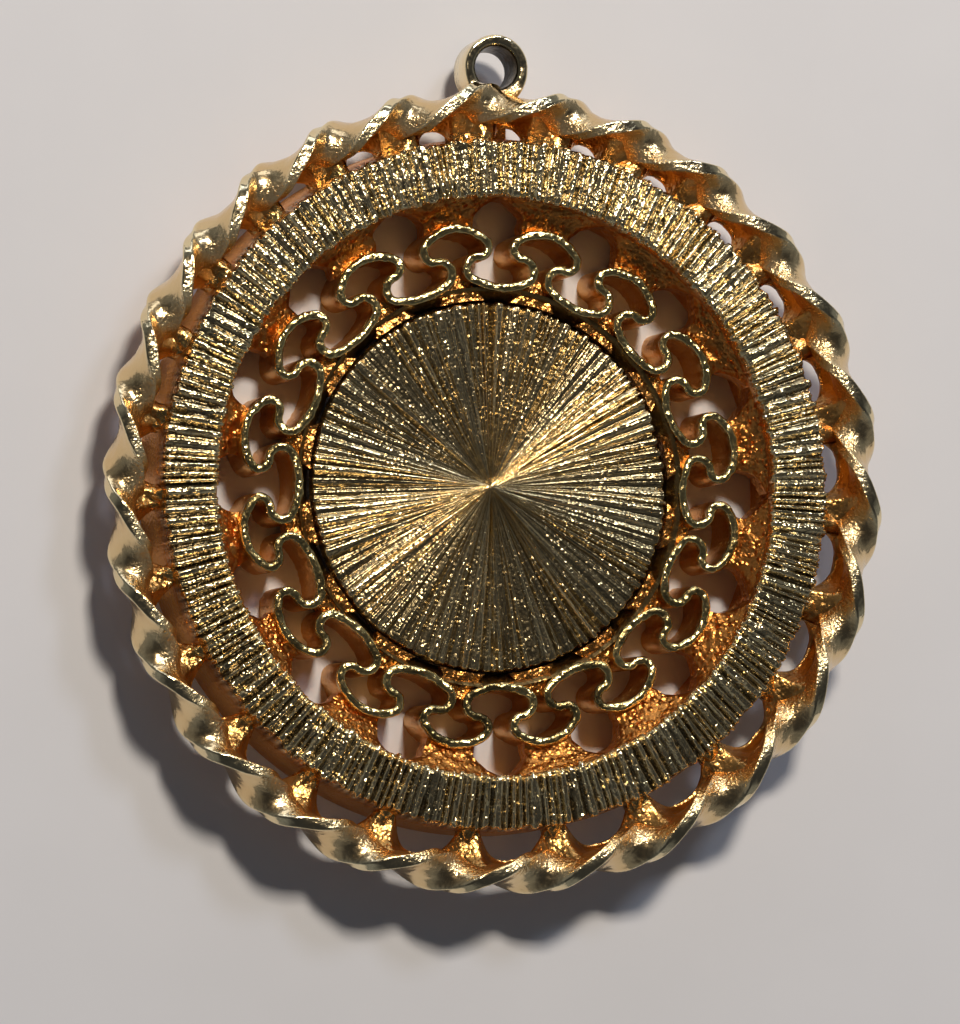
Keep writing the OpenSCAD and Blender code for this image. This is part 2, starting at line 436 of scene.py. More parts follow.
    def modify(self, piece: bpy.types.Object, kind: str, **settings: object) -> None:
        """Adds a modifier with its settings and applies it.

        Args:
            piece: the piece that it changes.
            kind: the modifier's type.
            settings: its settings by name.
        """
        self.select(piece)
        modifier = piece.modifiers.new(kind.title(), kind)
        for key, value in settings.items():
            setattr(modifier, key, value)
        bpy.ops.object.modifier_apply(modifier=modifier.name)

    def finish(self, piece: bpy.types.Object, slot: Slot, material: bpy.types.Material,
               crease: float = 60.0, **notes: Points | float) -> None:
        """Shades a finished piece, gives it its material and lets it ride on the pendant.

        Args:
            piece: the finished piece.
            slot: the record's slot that its finish stands for; it is not used.
            material: its material.
            crease: edges flatter than this angle in degrees are shaded smooth.
            notes: values that the material reads, such as shelter, cast, grime and smooth; shelter and grime
                carry painted shade.
        """
        for name, values in notes.items():
            self.note(piece, name, values)
        self.select(piece)
        bpy.ops.object.shade_smooth_by_angle(angle=math.radians(crease))
        piece.data.materials.clear()
        piece.data.materials.append(material)
        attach(piece, BODY)
        LOG.info("%s: %d faces", piece.name, len(piece.data.polygons))


def add_node(tree: bpy.types.NodeTree, kind: str, settings: dict[str, object] | None = None,
             links: dict[str | int, object] | None = None) -> bpy.types.Node:
    """Adds a node with its settings and links.

    Args:
        tree: the node tree that gets the node.
        kind: the node's type name without its ShaderNode prefix.
        settings: properties of the node by name.
        links: input sockets by name or number, each with an output socket to link or a plain value.

    Returns:
        The new node.
    """
    node = tree.nodes.new("ShaderNode" + kind)
    for key, value in (settings or {}).items():
        setattr(node, key, value)
    for key, value in (links or {}).items():
        if isinstance(value, Socket):
            tree.links.new(value, node.inputs[key])
        else:
            node.inputs[key].default_value = value
    return node


@dataclass(frozen=True)
class PlatedGold:
    """Thin gold plate over a cast base metal: pale where it is rubbed, deep orange where it is sheltered, an
    orange that is partly painted shade of the hollows.

    Attributes:
        name: name of the material.
        rubbed: sRGB colour of the high places.
        sheltered: sRGB colour of the low places, partly unpolished plate and partly painted shade.
        gloss: roughness where the plate is smooth.
        dull: roughness where it is dull.
        sheltered_dull: roughness of the sheltered places, which no polishing wheel reached.
        grain_size: size of the casting's grain in millimetres.
        grain_depth: depth of that grain in millimetres.
        wave_size: size of the soft dents in millimetres.
        wave_depth: depth of the soft dents in millimetres.
        grain_detail: how many finer octaves the grain has.
        blotches: how strongly the plate's colour varies from place to place.
        blotch_size: size of those changes of colour in millimetres.
        blotch_floor: share of the blotches that leaves the colour as it is.
        bead_size: spacing in millimetres of the small beads that the casting has on its worked faces.
        bead_depth: height of the tallest of those beads in millimetres.
        bead_rarity: the higher it is, the fewer of the beads are tall.
        cast_depth: depth in millimetres of the rough skin that the mould left, where "cast" says so.
        cast_dull: roughness of that skin.
        grime: sRGB colour of the painted shade in the grooves, in the loop's hole, on the collar and on the
            scroll wire, and of the webs' patchy grime.
        grime_and_shade_dull: roughness where that painted shade and grime lie.
    """

    name: str
    rubbed: str = "F4DEB2"
    sheltered: str = "DB9542"
    gloss: float = 0.12
    dull: float = 0.22
    sheltered_dull: float = 0.36
    grain_size: float = 0.16
    grain_depth: float = 0.006
    wave_size: float = 1.4
    wave_depth: float = 0.02
    grain_detail: float = 1.5
    blotches: float = 0.5
    blotch_size: float = 2.5
    blotch_floor: float = 0.4
    bead_size: float = 0.26
    bead_depth: float = 0.0
    bead_rarity: float = 1.3
    cast_depth: float = 0.0
    cast_dull: float = 0.36
    grime: str = "241C10"
    grime_and_shade_dull: float = 0.3

    def build(self) -> bpy.types.Material:
        """Makes the material, driven by the piece's own attributes and its place.

        Returns:
            The material.
        """
        material = bpy.data.materials.new(self.name)
        material.use_nodes = True
        tree = material.node_tree
        shader = tree.nodes["Principled BSDF"]
        shader.inputs["Metallic"].default_value = 1.0
        place = add_node(tree, "TexCoord").outputs["Object"]
        speck = add_node(tree, "TexNoise", links={
            "Vector": place, "Scale": 1/(self.grain_size*MM), "Detail": self.grain_detail,
            "Roughness": 0.5}).outputs["Fac"]
        notes = {name: add_node(tree, "Attribute", {"attribute_name": name}).outputs["Fac"]
                 for name in ("shelter", "grime", "cast", "smooth")}
        tree.links.new(self._colour(tree, place, notes), shader.inputs["Base Color"])
        tree.links.new(self._roughness(tree, speck, notes), shader.inputs["Roughness"])
        tree.links.new(self._relief(tree, place, speck, notes), shader.inputs["Normal"])
        return material

    def _colour(self, tree: bpy.types.NodeTree, place: Socket, notes: dict[str, Socket]) -> Socket:
        """Adds the plate's colour: rubbed to sheltered in blotches, and painted shade and grime over both;
        the sheltered orange is partly painted shade too.

        Args:
            tree: the material's node tree.
            place: the place on the piece.
            notes: the piece's own attributes.

        Returns:
            The socket that gives the colour.
        """
        blotch = add_node(tree, "TexNoise", links={
            "Vector": place, "Scale": 1/(self.blotch_size*MM), "Detail": 4.0}).outputs["Fac"]
        # The sheltered colour is partly unpolished plate and partly painted shade of the hollows.
        mixed = add_node(tree, "Math", {"operation": "MULTIPLY_ADD", "use_clamp": True}, {
            0: blotch, 1: self.blotches, 2: notes["shelter"]}).outputs["Value"]
        worn = add_node(tree, "MapRange", links={
            "Value": mixed, "From Min": self.blotch_floor*self.blotches, "From Max": 1.0}).outputs["Result"]
        colour = add_node(tree, "MixRGB", links={
            "Fac": worn, "Color1": to_linear(self.rubbed), "Color2": to_linear(self.sheltered)})
        # Painted shade and grime: the grime colour is mixed in where the grime note says, darkest in grooves
        # and hollows.
        shaded_and_grimy = add_node(tree, "MixRGB", links={
            "Fac": notes["grime"], "Color1": colour.outputs["Color"], "Color2": to_linear(self.grime)})
        return shaded_and_grimy.outputs["Color"]

    def _roughness(self, tree: bpy.types.NodeTree, speck: Socket, notes: dict[str, Socket]) -> Socket:
        """Adds the roughness: specks of gloss, then dull shelter, rough skin, and the dull painted shade and
        grime over them.

        Args:
            tree: the material's node tree.
            speck: the casting's grain.
            notes: the piece's own attributes.

        Returns:
            The socket that gives the roughness.
        """
        layer = add_node(tree, "MapRange", links={
            "Value": speck, "From Min": NOISE_LOW, "From Max": NOISE_HIGH, "To Min": self.gloss,
            "To Max": self.dull}).outputs["Result"]
        layers = {"shelter": self.sheltered_dull, "cast": self.cast_dull, "grime": self.grime_and_shade_dull}
        for name, dull in layers.items():
            layer = add_node(tree, "Mix", links={
                "Factor": notes[name], "A": layer, "B": dull}).outputs["Result"]
        return layer

    def _relief(self, tree: bpy.types.NodeTree, place: Socket, speck: Socket,
                notes: dict[str, Socket]) -> Socket:
        """Adds the relief that is too fine for the mesh: dents, grain, beads and rough skin.

        Args:
            tree: the material's node tree.
            place: the place on the piece.
            speck: the casting's grain.
            notes: the piece's own attributes.

        Returns:
            The socket that gives the direction that the surface faces.
        """
        wave = add_node(tree, "TexNoise", links={
            "Vector": place, "Scale": 1/(self.wave_size*MM), "Detail": 1.0}).outputs["Fac"]
        soft = add_node(tree, "Bump", links={
            "Height": wave, "Distance": self.wave_depth*MM*NOISE_SWING}).outputs["Normal"]
        normal = add_node(tree, "Bump", links={
            "Height": speck, "Distance": self.grain_depth*MM*NOISE_SWING, "Normal": soft}).outputs["Normal"]
        if self.bead_depth:
            normal = self._beaded(tree, place, normal, notes)
        skin = add_node(tree, "Math", {"operation": "MULTIPLY"}, {0: speck, 1: notes["cast"]})
        lumpy = add_node(tree, "Bump", links={
            "Height": skin.outputs["Value"], "Distance": self.cast_depth*MM*NOISE_SWING, "Normal": normal})
        return lumpy.outputs["Normal"]

    def _beaded(self, tree: bpy.types.NodeTree, place: Socket, normal: Socket,
                notes: dict[str, Socket]) -> Socket:
        """Adds the casting's small beads, of uneven height, where the piece isn't smooth.

        Args:
            tree: the material's node tree.
            place: the place on the piece.
            normal: the direction that the surface faces without them.
            notes: the piece's own attributes.

        Returns:
            The socket that gives the direction with them.
        """
        cells = add_node(tree, "TexVoronoi", links={
            "Vector": place, "Scale": 1/(self.bead_size*MM)}).outputs
        chance = add_node(tree, "SeparateColor", links={0: cells["Color"]}).outputs["Red"]
        tall = add_node(tree, "Math", {"operation": "POWER"}, {0: chance, 1: self.bead_rarity})
        kept = add_node(tree, "Math", {"operation": "SUBTRACT"}, {0: 1.0, 1: notes["smooth"]})
        sized = add_node(tree, "Math", {"operation": "MULTIPLY"}, {
            0: tall.outputs["Value"], 1: kept.outputs["Value"]}).outputs["Value"]
        bead = add_node(tree, "Math", {"operation": "MULTIPLY"}, {0: cells["Distance"], 1: sized})
        return add_node(tree, "Bump", {"invert": True}, {
            "Height": bead.outputs["Value"], "Distance": self.bead_depth*MM,
            "Normal": normal}).outputs["Normal"]


class Finish(Enum):
    """The pendant's finishes: one gold plate over surfaces that were made in different ways."""

    # Buffed on a wheel after plating: it mirrors the room, broken up by soft dents.
    POLISHED = PlatedGold(
        "polished_gold_plate", rubbed="F1DFB4", sheltered="D9A865", gloss=0.1, dull=0.18, grain_size=0.2,
        wave_size=0.6, wave_depth=0.03, cast_depth=0.055, cast_dull=0.36)
    # Cast with the bars on it and only wiped: pale bars that glitter with cast beads.
    BARRED = PlatedGold(
        "barred_gold_plate", rubbed="F6E1B0", grain_size=0.2, grain_depth=0.006, gloss=0.12, dull=0.2,
        blotches=0.3, bead_depth=0.11, cast_depth=0.03)
    # The same casting on the disc, with lower beads that fade out towards its rubbed middle.
    RAYED = PlatedGold(
        "rayed_gold_plate", rubbed="F3DBA8", grain_size=0.2, grain_depth=0.006, gloss=0.12, dull=0.2,
        blotches=0.2, bead_size=0.25, bead_depth=0.065)
    # Cut in wax and cast: a warm wire, bright along its top and dull down its sides, where painted shade
    # deepens the orange and darkens the top on the side away from the light.
    EDGED = PlatedGold(
        "scroll_gold_plate", rubbed="F5DC98", sheltered="D9A25A", grain_size=0.2, grain_depth=0.012,
        bead_size=0.24, bead_depth=0.05)
    # Left as it came out of the mould: coarse tall beads in deep orange, which no wheel reached; the orange
    # is partly painted shade of the hollows where it lies.
    ROUGH = PlatedGold(
        "as_cast_gold_plate", rubbed="EFC680", sheltered="D8924A", grain_size=0.22, grain_depth=0.03,
        gloss=0.14, dull=0.26, sheltered_dull=0.3, bead_size=0.32, bead_depth=0.24, bead_rarity=1.6)
    # Cast and brushed over: the webs' warm skin, with low beads and little shine.
    CAST = PlatedGold(
        "web_gold_plate", rubbed="EAC47E", sheltered="DAA662", grain_size=0.22, grain_depth=0.02,
        gloss=0.16, dull=0.26, sheltered_dull=0.3, bead_size=0.3, bead_depth=0.09)


@dataclass
class RibbonTwist:
    """How the border's flat ribbon turns as it runs round the rim."""

    half_turns: int = 26
    start: float = 16.8
    drift: float = 5.9
    drift_at: float = 38.0
    linger: float = 12.0
    linger_at: float = 90.0

    def turn(self, angle: Points) -> Points:
        """Works out the ribbon's turn, which lingers where it stands upright and hurries where it lies flat.

        Args:
            angle: angles round the rim in degrees.

        Returns:
            The turn in degrees at each angle: 0 is flat, 90 is upright.
        """
        uneven = self.drift*toward(angle, self.drift_at)
        even = -HALF_TURN*(angle - self.start + uneven)*self.half_turns/FULL_TURN
        return even - self.linger*np.sin(np.radians(2*(even - self.linger_at)))

    def flat_angle(self, number: int) -> float:
        """Finds one of the places where the ribbon lies flat, in a few steps.

        Args:
            number: which of them, counted clockwise.

        Returns:
            Its angle in degrees.
        """
        angle = plain = self.start + FULL_TURN*number/self.half_turns
        for _ in range(4):
            angle = plain - self.drift*math.cos(math.radians(angle - self.drift_at))
        return angle


@dataclass
class TwistedBorder:
    """The flat ribbon that turns round the rim, and the cast webs that carry its flat stretches."""

    bench: Bench
    twist: RibbonTwist
    radius: float = 24.7
    lean: float = 0.3
    lean_at: float = 138.0
    bulge: float = 0.25
    bulge_at: float = 222.0
    bulge_spread: float = 38.0
    height: float = 4.7
    flat_width: float = 2.5
    tall_width: float = 3.36
    edge_thickness: float = 0.84
    middle_thickness: float = 1.26
    corner: float = 0.15
    corner_segments: int = 4
    face_cuts: int = 11
    polished_from: float = 0.86
    polished_to: float = 0.94
    dents: Lumps = Lumps(0.07, 1.1, seed=8)
    crest_knee: float = 1.42
    steps: int = 936
    sectors: int = 26
    loop_swell: float = 0.32
    loop_swell_at: float = -2.5
    loop_swell_spread: float = 6.0
    ring_radius: float = 22.25
    web_lag: float = 3.0
    web_lag_spread: float = 1.0
    web_lag_at: float = 150.0
    web_half_width: float = 1.08
    web_spread: float = 0.42
    web_spread_at: float = 35.0
    web_cuts: int = 15
    web_root: float = 0.25
    web_drop: float = 0.2
    web_crown: float = 0.9
    web_under_crown: float = 0.3
    web_bite: float = 0.55
    web_thickness: float = 0.8
    web_root_swell: float = 0.8
    web_lumps: Lumps = Lumps(0.14, 0.7, seed=0)
    web_grains: Lumps = Lumps(0.09, 0.25, seed=40)
    skirt_cuts: int = 9
    skirt_tuck: float = 0.2
    skirt_lumps: Lumps = Lumps(0.1, 0.8, seed=71)
    skirt_grains: Lumps = Lumps(0.05, 0.26, seed=72)
    skirt_reach: float = 0.85
    skirt_top_reach: float = 0.35
    skirt_top_spread: float = 35.0
    skirt_low: float = 3.2
    skirt_high: float = 4.4
    skirt_cove: float = 1.4
    skirt_rise: float = 1.0
    skirt_thickness: float = 0.35
    slot_share: float = 0.9
    slot_narrowing: float = 0.45
    slot_narrow_at: float = 12.0
    slot_narrow_spread: float = 60.0
    slot_dome: float = 2.6
    slot_overlap: float = 0.1
    face_wear: float = 0.3
    seat_wear: float = 0.6
    web_grime: Lumps = Lumps(0.35, 1.3, seed=82)

    def centre_radius(self, angle: Points) -> Points:
        """Works out the radius of the ribbon's centre line.

        The border lies a little off the ring's centre, bulges at its lower left and swells out where it
        passes the loop.

        Args:
            angle: angles round the rim in degrees.

        Returns:
            The radius at each angle.
        """
        swell = self.loop_swell*np.exp(-(off_angle(angle, self.loop_swell_at)/self.loop_swell_spread)**2)
        bulge = self.bulge*np.exp(-((angle - self.bulge_at)/self.bulge_spread)**2)
        return self.radius + self.lean*toward(angle, self.lean_at) + swell + bulge

    def lag(self, angle: Points) -> Points:
        """Returns how many degrees the webs stand before the ribbon's flat stretches."""
        return self.web_lag + self.web_lag_spread*toward(angle, self.web_lag_at)

    def half_width(self, turn: Points) -> Points:
        """Returns half the ribbon's width for its turn in radians: it is wider where it stands upright."""
        return 0.5*np.hypot(self.flat_width*np.cos(turn), self.tall_width*np.sin(turn))

    def ribbon(self) -> tuple[bpy.types.Object, Points]:
        """Spins the ribbon's rounded section round the rim, then turns it section by section.

        Returns:
            The ribbon, and 1 for each vertex on its broad faces or 0 on its polished edges.
        """
        ribbon = self.bench.add_section("twisted_ribbon", self.radius, self.height, self.tall_width,
                                        self.edge_thickness)
        edge = 0.49*self.edge_thickness
        with self.bench.editing(ribbon):
            bpy.ops.mesh.select_all(action="SELECT")
            bpy.ops.mesh.bevel(offset=self.corner*MM, segments=self.corner_segments, affect="VERTICES")
            for side in (-1, 1):
                self.bench.pick(ribbon, lambda p, s=side: s*(p.z - self.height) > edge)
                bpy.ops.mesh.subdivide(number_cuts=self.face_cuts)
        ribbon = self.bench.revolve(ribbon, self.steps, self.sectors)
        share = np.abs(radius_of(self.bench.places(ribbon)) - self.radius)/(0.5*self.tall_width)
        self.bench.reshape(ribbon, self._turned)
        return ribbon, 1 - blend(self.polished_from, self.polished_to, share)

    def _turned(self, places: Points) -> Points:
        """Turns each section of the plain band to the twist at its angle, thick in its middle.

        Args:
            places: the plain band's vertices.

        Returns:
            The same vertices on the turned ribbon, its highest and lowest crests rubbed round.
        """
        angle = angle_of(places)
        turn = np.radians(self.twist.turn(angle))
        share = (radius_of(places) - self.radius)/(0.5*self.tall_width)
        across = share*self.half_width(turn)
        swell = self.middle_thickness/self.edge_thickness - 1
        through = (places[:, 2] - self.height)*(1 + swell*(1 - np.clip(np.abs(share), 0, 1)**1.5))
        # The angle is unrolled to millimetres along the rim, and each face has dents of its own.
        unrolled = np.stack([angle*0.43, share*1.6, np.sign(through)*3], axis=1)
        through = through + self.dents.over(unrolled)*np.sign(through)*blend(0, 0.5, 1 - np.abs(share))
        radius = self.centre_radius(angle) + across*np.cos(turn) - through*np.sin(turn)
        height = across*np.sin(turn) + through*np.cos(turn)
        knee, room = self.crest_knee, 0.5*self.tall_width - self.crest_knee
        past_knee = np.maximum(np.abs(height) - knee, 0)
        worn = np.minimum(np.abs(height), knee) + room*(1 - np.exp(-past_knee/room))
        return polar(angle, radius, self.height + np.sign(height)*worn)

    def webs(self) -> bpy.types.Object:
        """Builds the rough webs between the ring's side and the flat stretches of the ribbon.

        Returns:
            The webs, joined.
        """
        rules = []
        for number in range(self.twist.half_turns):
            flat = self.twist.flat_angle(number)
            middle = flat - float(self.lag(np.array(flat)))
            rules.append(lambda p, m=middle, n=number: self._web(p, m, n))
        return self.bench.lay(self.bench.add_block("web", self.web_cuts), rules, "ribbon_webs")

    def _web(self, places: Points, middle: float, number: int) -> Points:
        """Lays a cube's grid from the ring's side to the ribbon's inner edge as one slanted, lumpy web.

        Args:
            places: the cube's vertices.
            middle: the web's angle.
            number: the web's number, which gives it lumps of its own.

        Returns:
            The same vertices on the web.
        """
        along, across, through = places.T
        share = across + 0.5
        toward_wide = math.cos(math.radians(middle - self.web_spread_at))
        half = self.web_half_width*(1 + self.web_spread*toward_wide)
        angle = middle + np.degrees(2*half*along/self.ring_radius)
        turn = np.radians(self.twist.turn(angle))
        middle_turn = math.radians(float(self.twist.turn(np.array(middle))))
        inward = -math.copysign(1, math.cos(middle_turn))
        edge = inward*(self.half_width(turn) - self.web_bite)
        outer_radius = self.centre_radius(angle) + edge*np.cos(turn)
        outer_height = self.height + edge*np.sin(turn)
        radius = (self.ring_radius - self.web_root)*(1 - share) + outer_radius*share
        slant = (outer_height - self.height)*(0.45 + 0.55*share)
        crown = self.web_crown*(2*np.abs(along))**3*np.where(through > 0, 1, self.web_under_crown)
        thick = self.web_thickness*(1 + self.web_root_swell*(1 - share)**2)
        height = self.height + slant - self.web_drop - crown + (through - 0.2)*thick
        moved = polar(angle, radius, height)
        lumps = self.web_lumps.over(moved, number) + self.web_grains.over(moved, number)
        moved[:, 2] += lumps*np.where(through > 0.49, 1, 0.4)*(1 - 0.6*share)
        return moved

    def skirt(self) -> bpy.types.Object:
        """Spins the rough skirt that the casting has along the ribbon's inner side, between the webs.

        Returns:
            The skirt.
        """
        skirt = self.bench.add_section("ribbon_skirt", self.radius - 0.5, self.height, 1.0, 1.0)
        with self.bench.editing(skirt):
            self.bench.pick(skirt, lambda p: p.z > self.height)
            bpy.ops.mesh.subdivide(number_cuts=self.skirt_cuts)
        skirt = self.bench.revolve(skirt, self.steps, self.sectors)
        self.bench.reshape(skirt, self._skirted)
        return skirt

    def _skirted(self, places: Points) -> Points:
        """Slopes the plain skirt from the ribbon's inner side down to its lip and makes it lumpy.

        Between two webs the lip draws back from the ring as a dome, which leaves the slot open.

        Args:
            places: the plain skirt's vertices.

        Returns:
            The same vertices on the sloped skirt.
        """
        angle = angle_of(places)
        share = radius_of(places) - (self.radius - 1)
        upright = np.abs(np.sin(np.radians(self.twist.turn(angle))))
        flatness = np.abs(np.cos(np.radians(self.twist.turn(angle + self.lag(angle)))))
        off_narrow = off_angle(angle, self.slot_narrow_at)/self.slot_narrow_spread
        slot_end = self.slot_share - self.slot_narrowing*np.exp(-off_narrow**2)
        dome = np.clip(flatness/slot_end, 0, 1)**self.slot_dome
        off_top = off_angle(angle, 0.0)/self.skirt_top_spread
        reach = self.skirt_reach + self.skirt_top_reach*np.exp(-off_top**6)
        reach = reach + dome*(self.centre_radius(angle) - self.ring_radius + self.slot_overlap - reach)
        radius = self.centre_radius(angle) - self.skirt_tuck - (reach - self.skirt_tuck)*(1 - share)
        low = self.skirt_low + self.skirt_rise*dome
        high = self.skirt_high + self.skirt_cove*upright**6
        slope = low + (high - low)*share**2
        upper = places[:, 2] > self.height
        moved = polar(angle, radius, np.where(upper, slope, low - self.skirt_thickness))
        lumps = self.skirt_lumps.over(moved) + self.skirt_grains.over(moved)
        moved[:, 2] += np.where(upper, lumps, 0)
        return polar(angle, radius + 0.6*lumps*(1 - share), moved[:, 2])

    def build(self, polished: bpy.types.Material, cast: bpy.types.Material) -> None:
        """Models the ribbon and its webs, and hides the ribbon's CAD node.

        Args:
            polished: material of the ribbon.
            cast: material of the webs and the skirt.
        """
        ribbon, faces = self.ribbon()
        places, normals = self.bench.places(ribbon), self.bench.normals(ribbon)
        angle, radius = angle_of(places), radius_of(places)
        # Painted shade, with unpolished plate: the sides that face the ring and the parts near it take the
        # sheltered orange, less on the seats that face up; the broad faces take a little of it as less
        # polished plate.
        inward = -np.sum(normals*polar(angle, np.ones(len(places)), 0), axis=1)
        inner_side = blend(0.15, 0.6, inward)*blend(0, 0.8, self.radius + 0.8 - radius)
        near_ring = 1 - blend(22.9, 23.7, radius)
        seat = blend(0.5, 0.85, normals[:, 2])*(1 - blend(-0.5, 0.3, radius - self.centre_radius(angle)))
        unworn_and_shaded = np.maximum(inner_side, near_ring)
        shelter = np.maximum(unworn_and_shaded*(1 - self.seat_wear*seat), self.face_wear*faces)
        self.bench.finish(ribbon, Slot.RIBBON, polished, shelter=shelter, cast=np.maximum(unworn_and_shaded, seat))
        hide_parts("rope_border")
        webs = self.bench.join([self.webs(), self.skirt()], "ribbon_webs")
        places = self.bench.places(webs)
        grime = self.web_grime.depth*blend(-0.1, 0.4, self.web_grime.grain(places))
        # Painted shade, with unpolished plate: the webs and skirt take the sheltered orange, except where
        # their roots sink into the ring; their grime is random patches.
        self.bench.finish(webs, Slot.BARRED, cast, shelter=blend(22.4, 23.2, radius_of(places)), grime=grime)


@dataclass
class RidgePattern:
    """An irregular run of radial ridges, closed round the full turn.

    Attributes:
        count: number of ridges.
        flat: share of a ridge's width that its flat top takes.
        seed: seed of the irregularity.
        uneven_width: spread of the ridges' widths, as a share.
        uneven_height: spread of the ridges' heights, as a share.
        skew: how far the ridges lean off the radius, in degrees for each millimetre.
        floor_share: how much less the grooves' floors vary than the ridges' tops, as a share.
        leans: number of times that the lean changes round the full turn.
    """

    count: int
    flat: float
    seed: int
    uneven_width: float = 0.45
    uneven_height: float = 0.5
    skew: float = 0.12
    floor_share: float = 0.6
    leans: int = 60

    def __post_init__(self) -> None:
        """Draws the ridges' edges, heights and lean."""
        draw = np.random.default_rng(self.seed)
        widths = 1 + self.uneven_width*draw.uniform(-1, 1, self.count)
        edges = np.cumsum(widths)*FULL_TURN/widths.sum()
        starts = edges - widths*FULL_TURN/widths.sum()
        middles = (starts + edges)/2
        spans = edges - starts
        tops = 1 - self.uneven_height*draw.uniform(0, 1, self.count)
        floors = self.uneven_height*self.floor_share*draw.uniform(0, 1, self.count)
        half_flat = 0.5*self.flat*spans
        self._angles = np.stack([starts, middles - half_flat, middles + half_flat], axis=1).ravel()
        self._heights = np.stack([floors, tops, tops], axis=1).ravel()
        self._lean_steps = draw.uniform(-1, 1, self.leans)*self.skew

    def height(self, angle: Points, off_middle: Points) -> Points:
        """Returns the ridges' height at each place.

        Args:
            angle: angle of each place in degrees.
            off_middle: distance of each place from the radius where the ridges don't lean away.

        Returns:
            Heights from 0 to 1.
        """
        knots = np.linspace(0, FULL_TURN, self.leans, endpoint=False)
        lean = np.interp(angle, knots, self._lean_steps, period=FULL_TURN)
        return np.interp(angle + lean*off_middle, self._angles, self._heights, period=FULL_TURN)


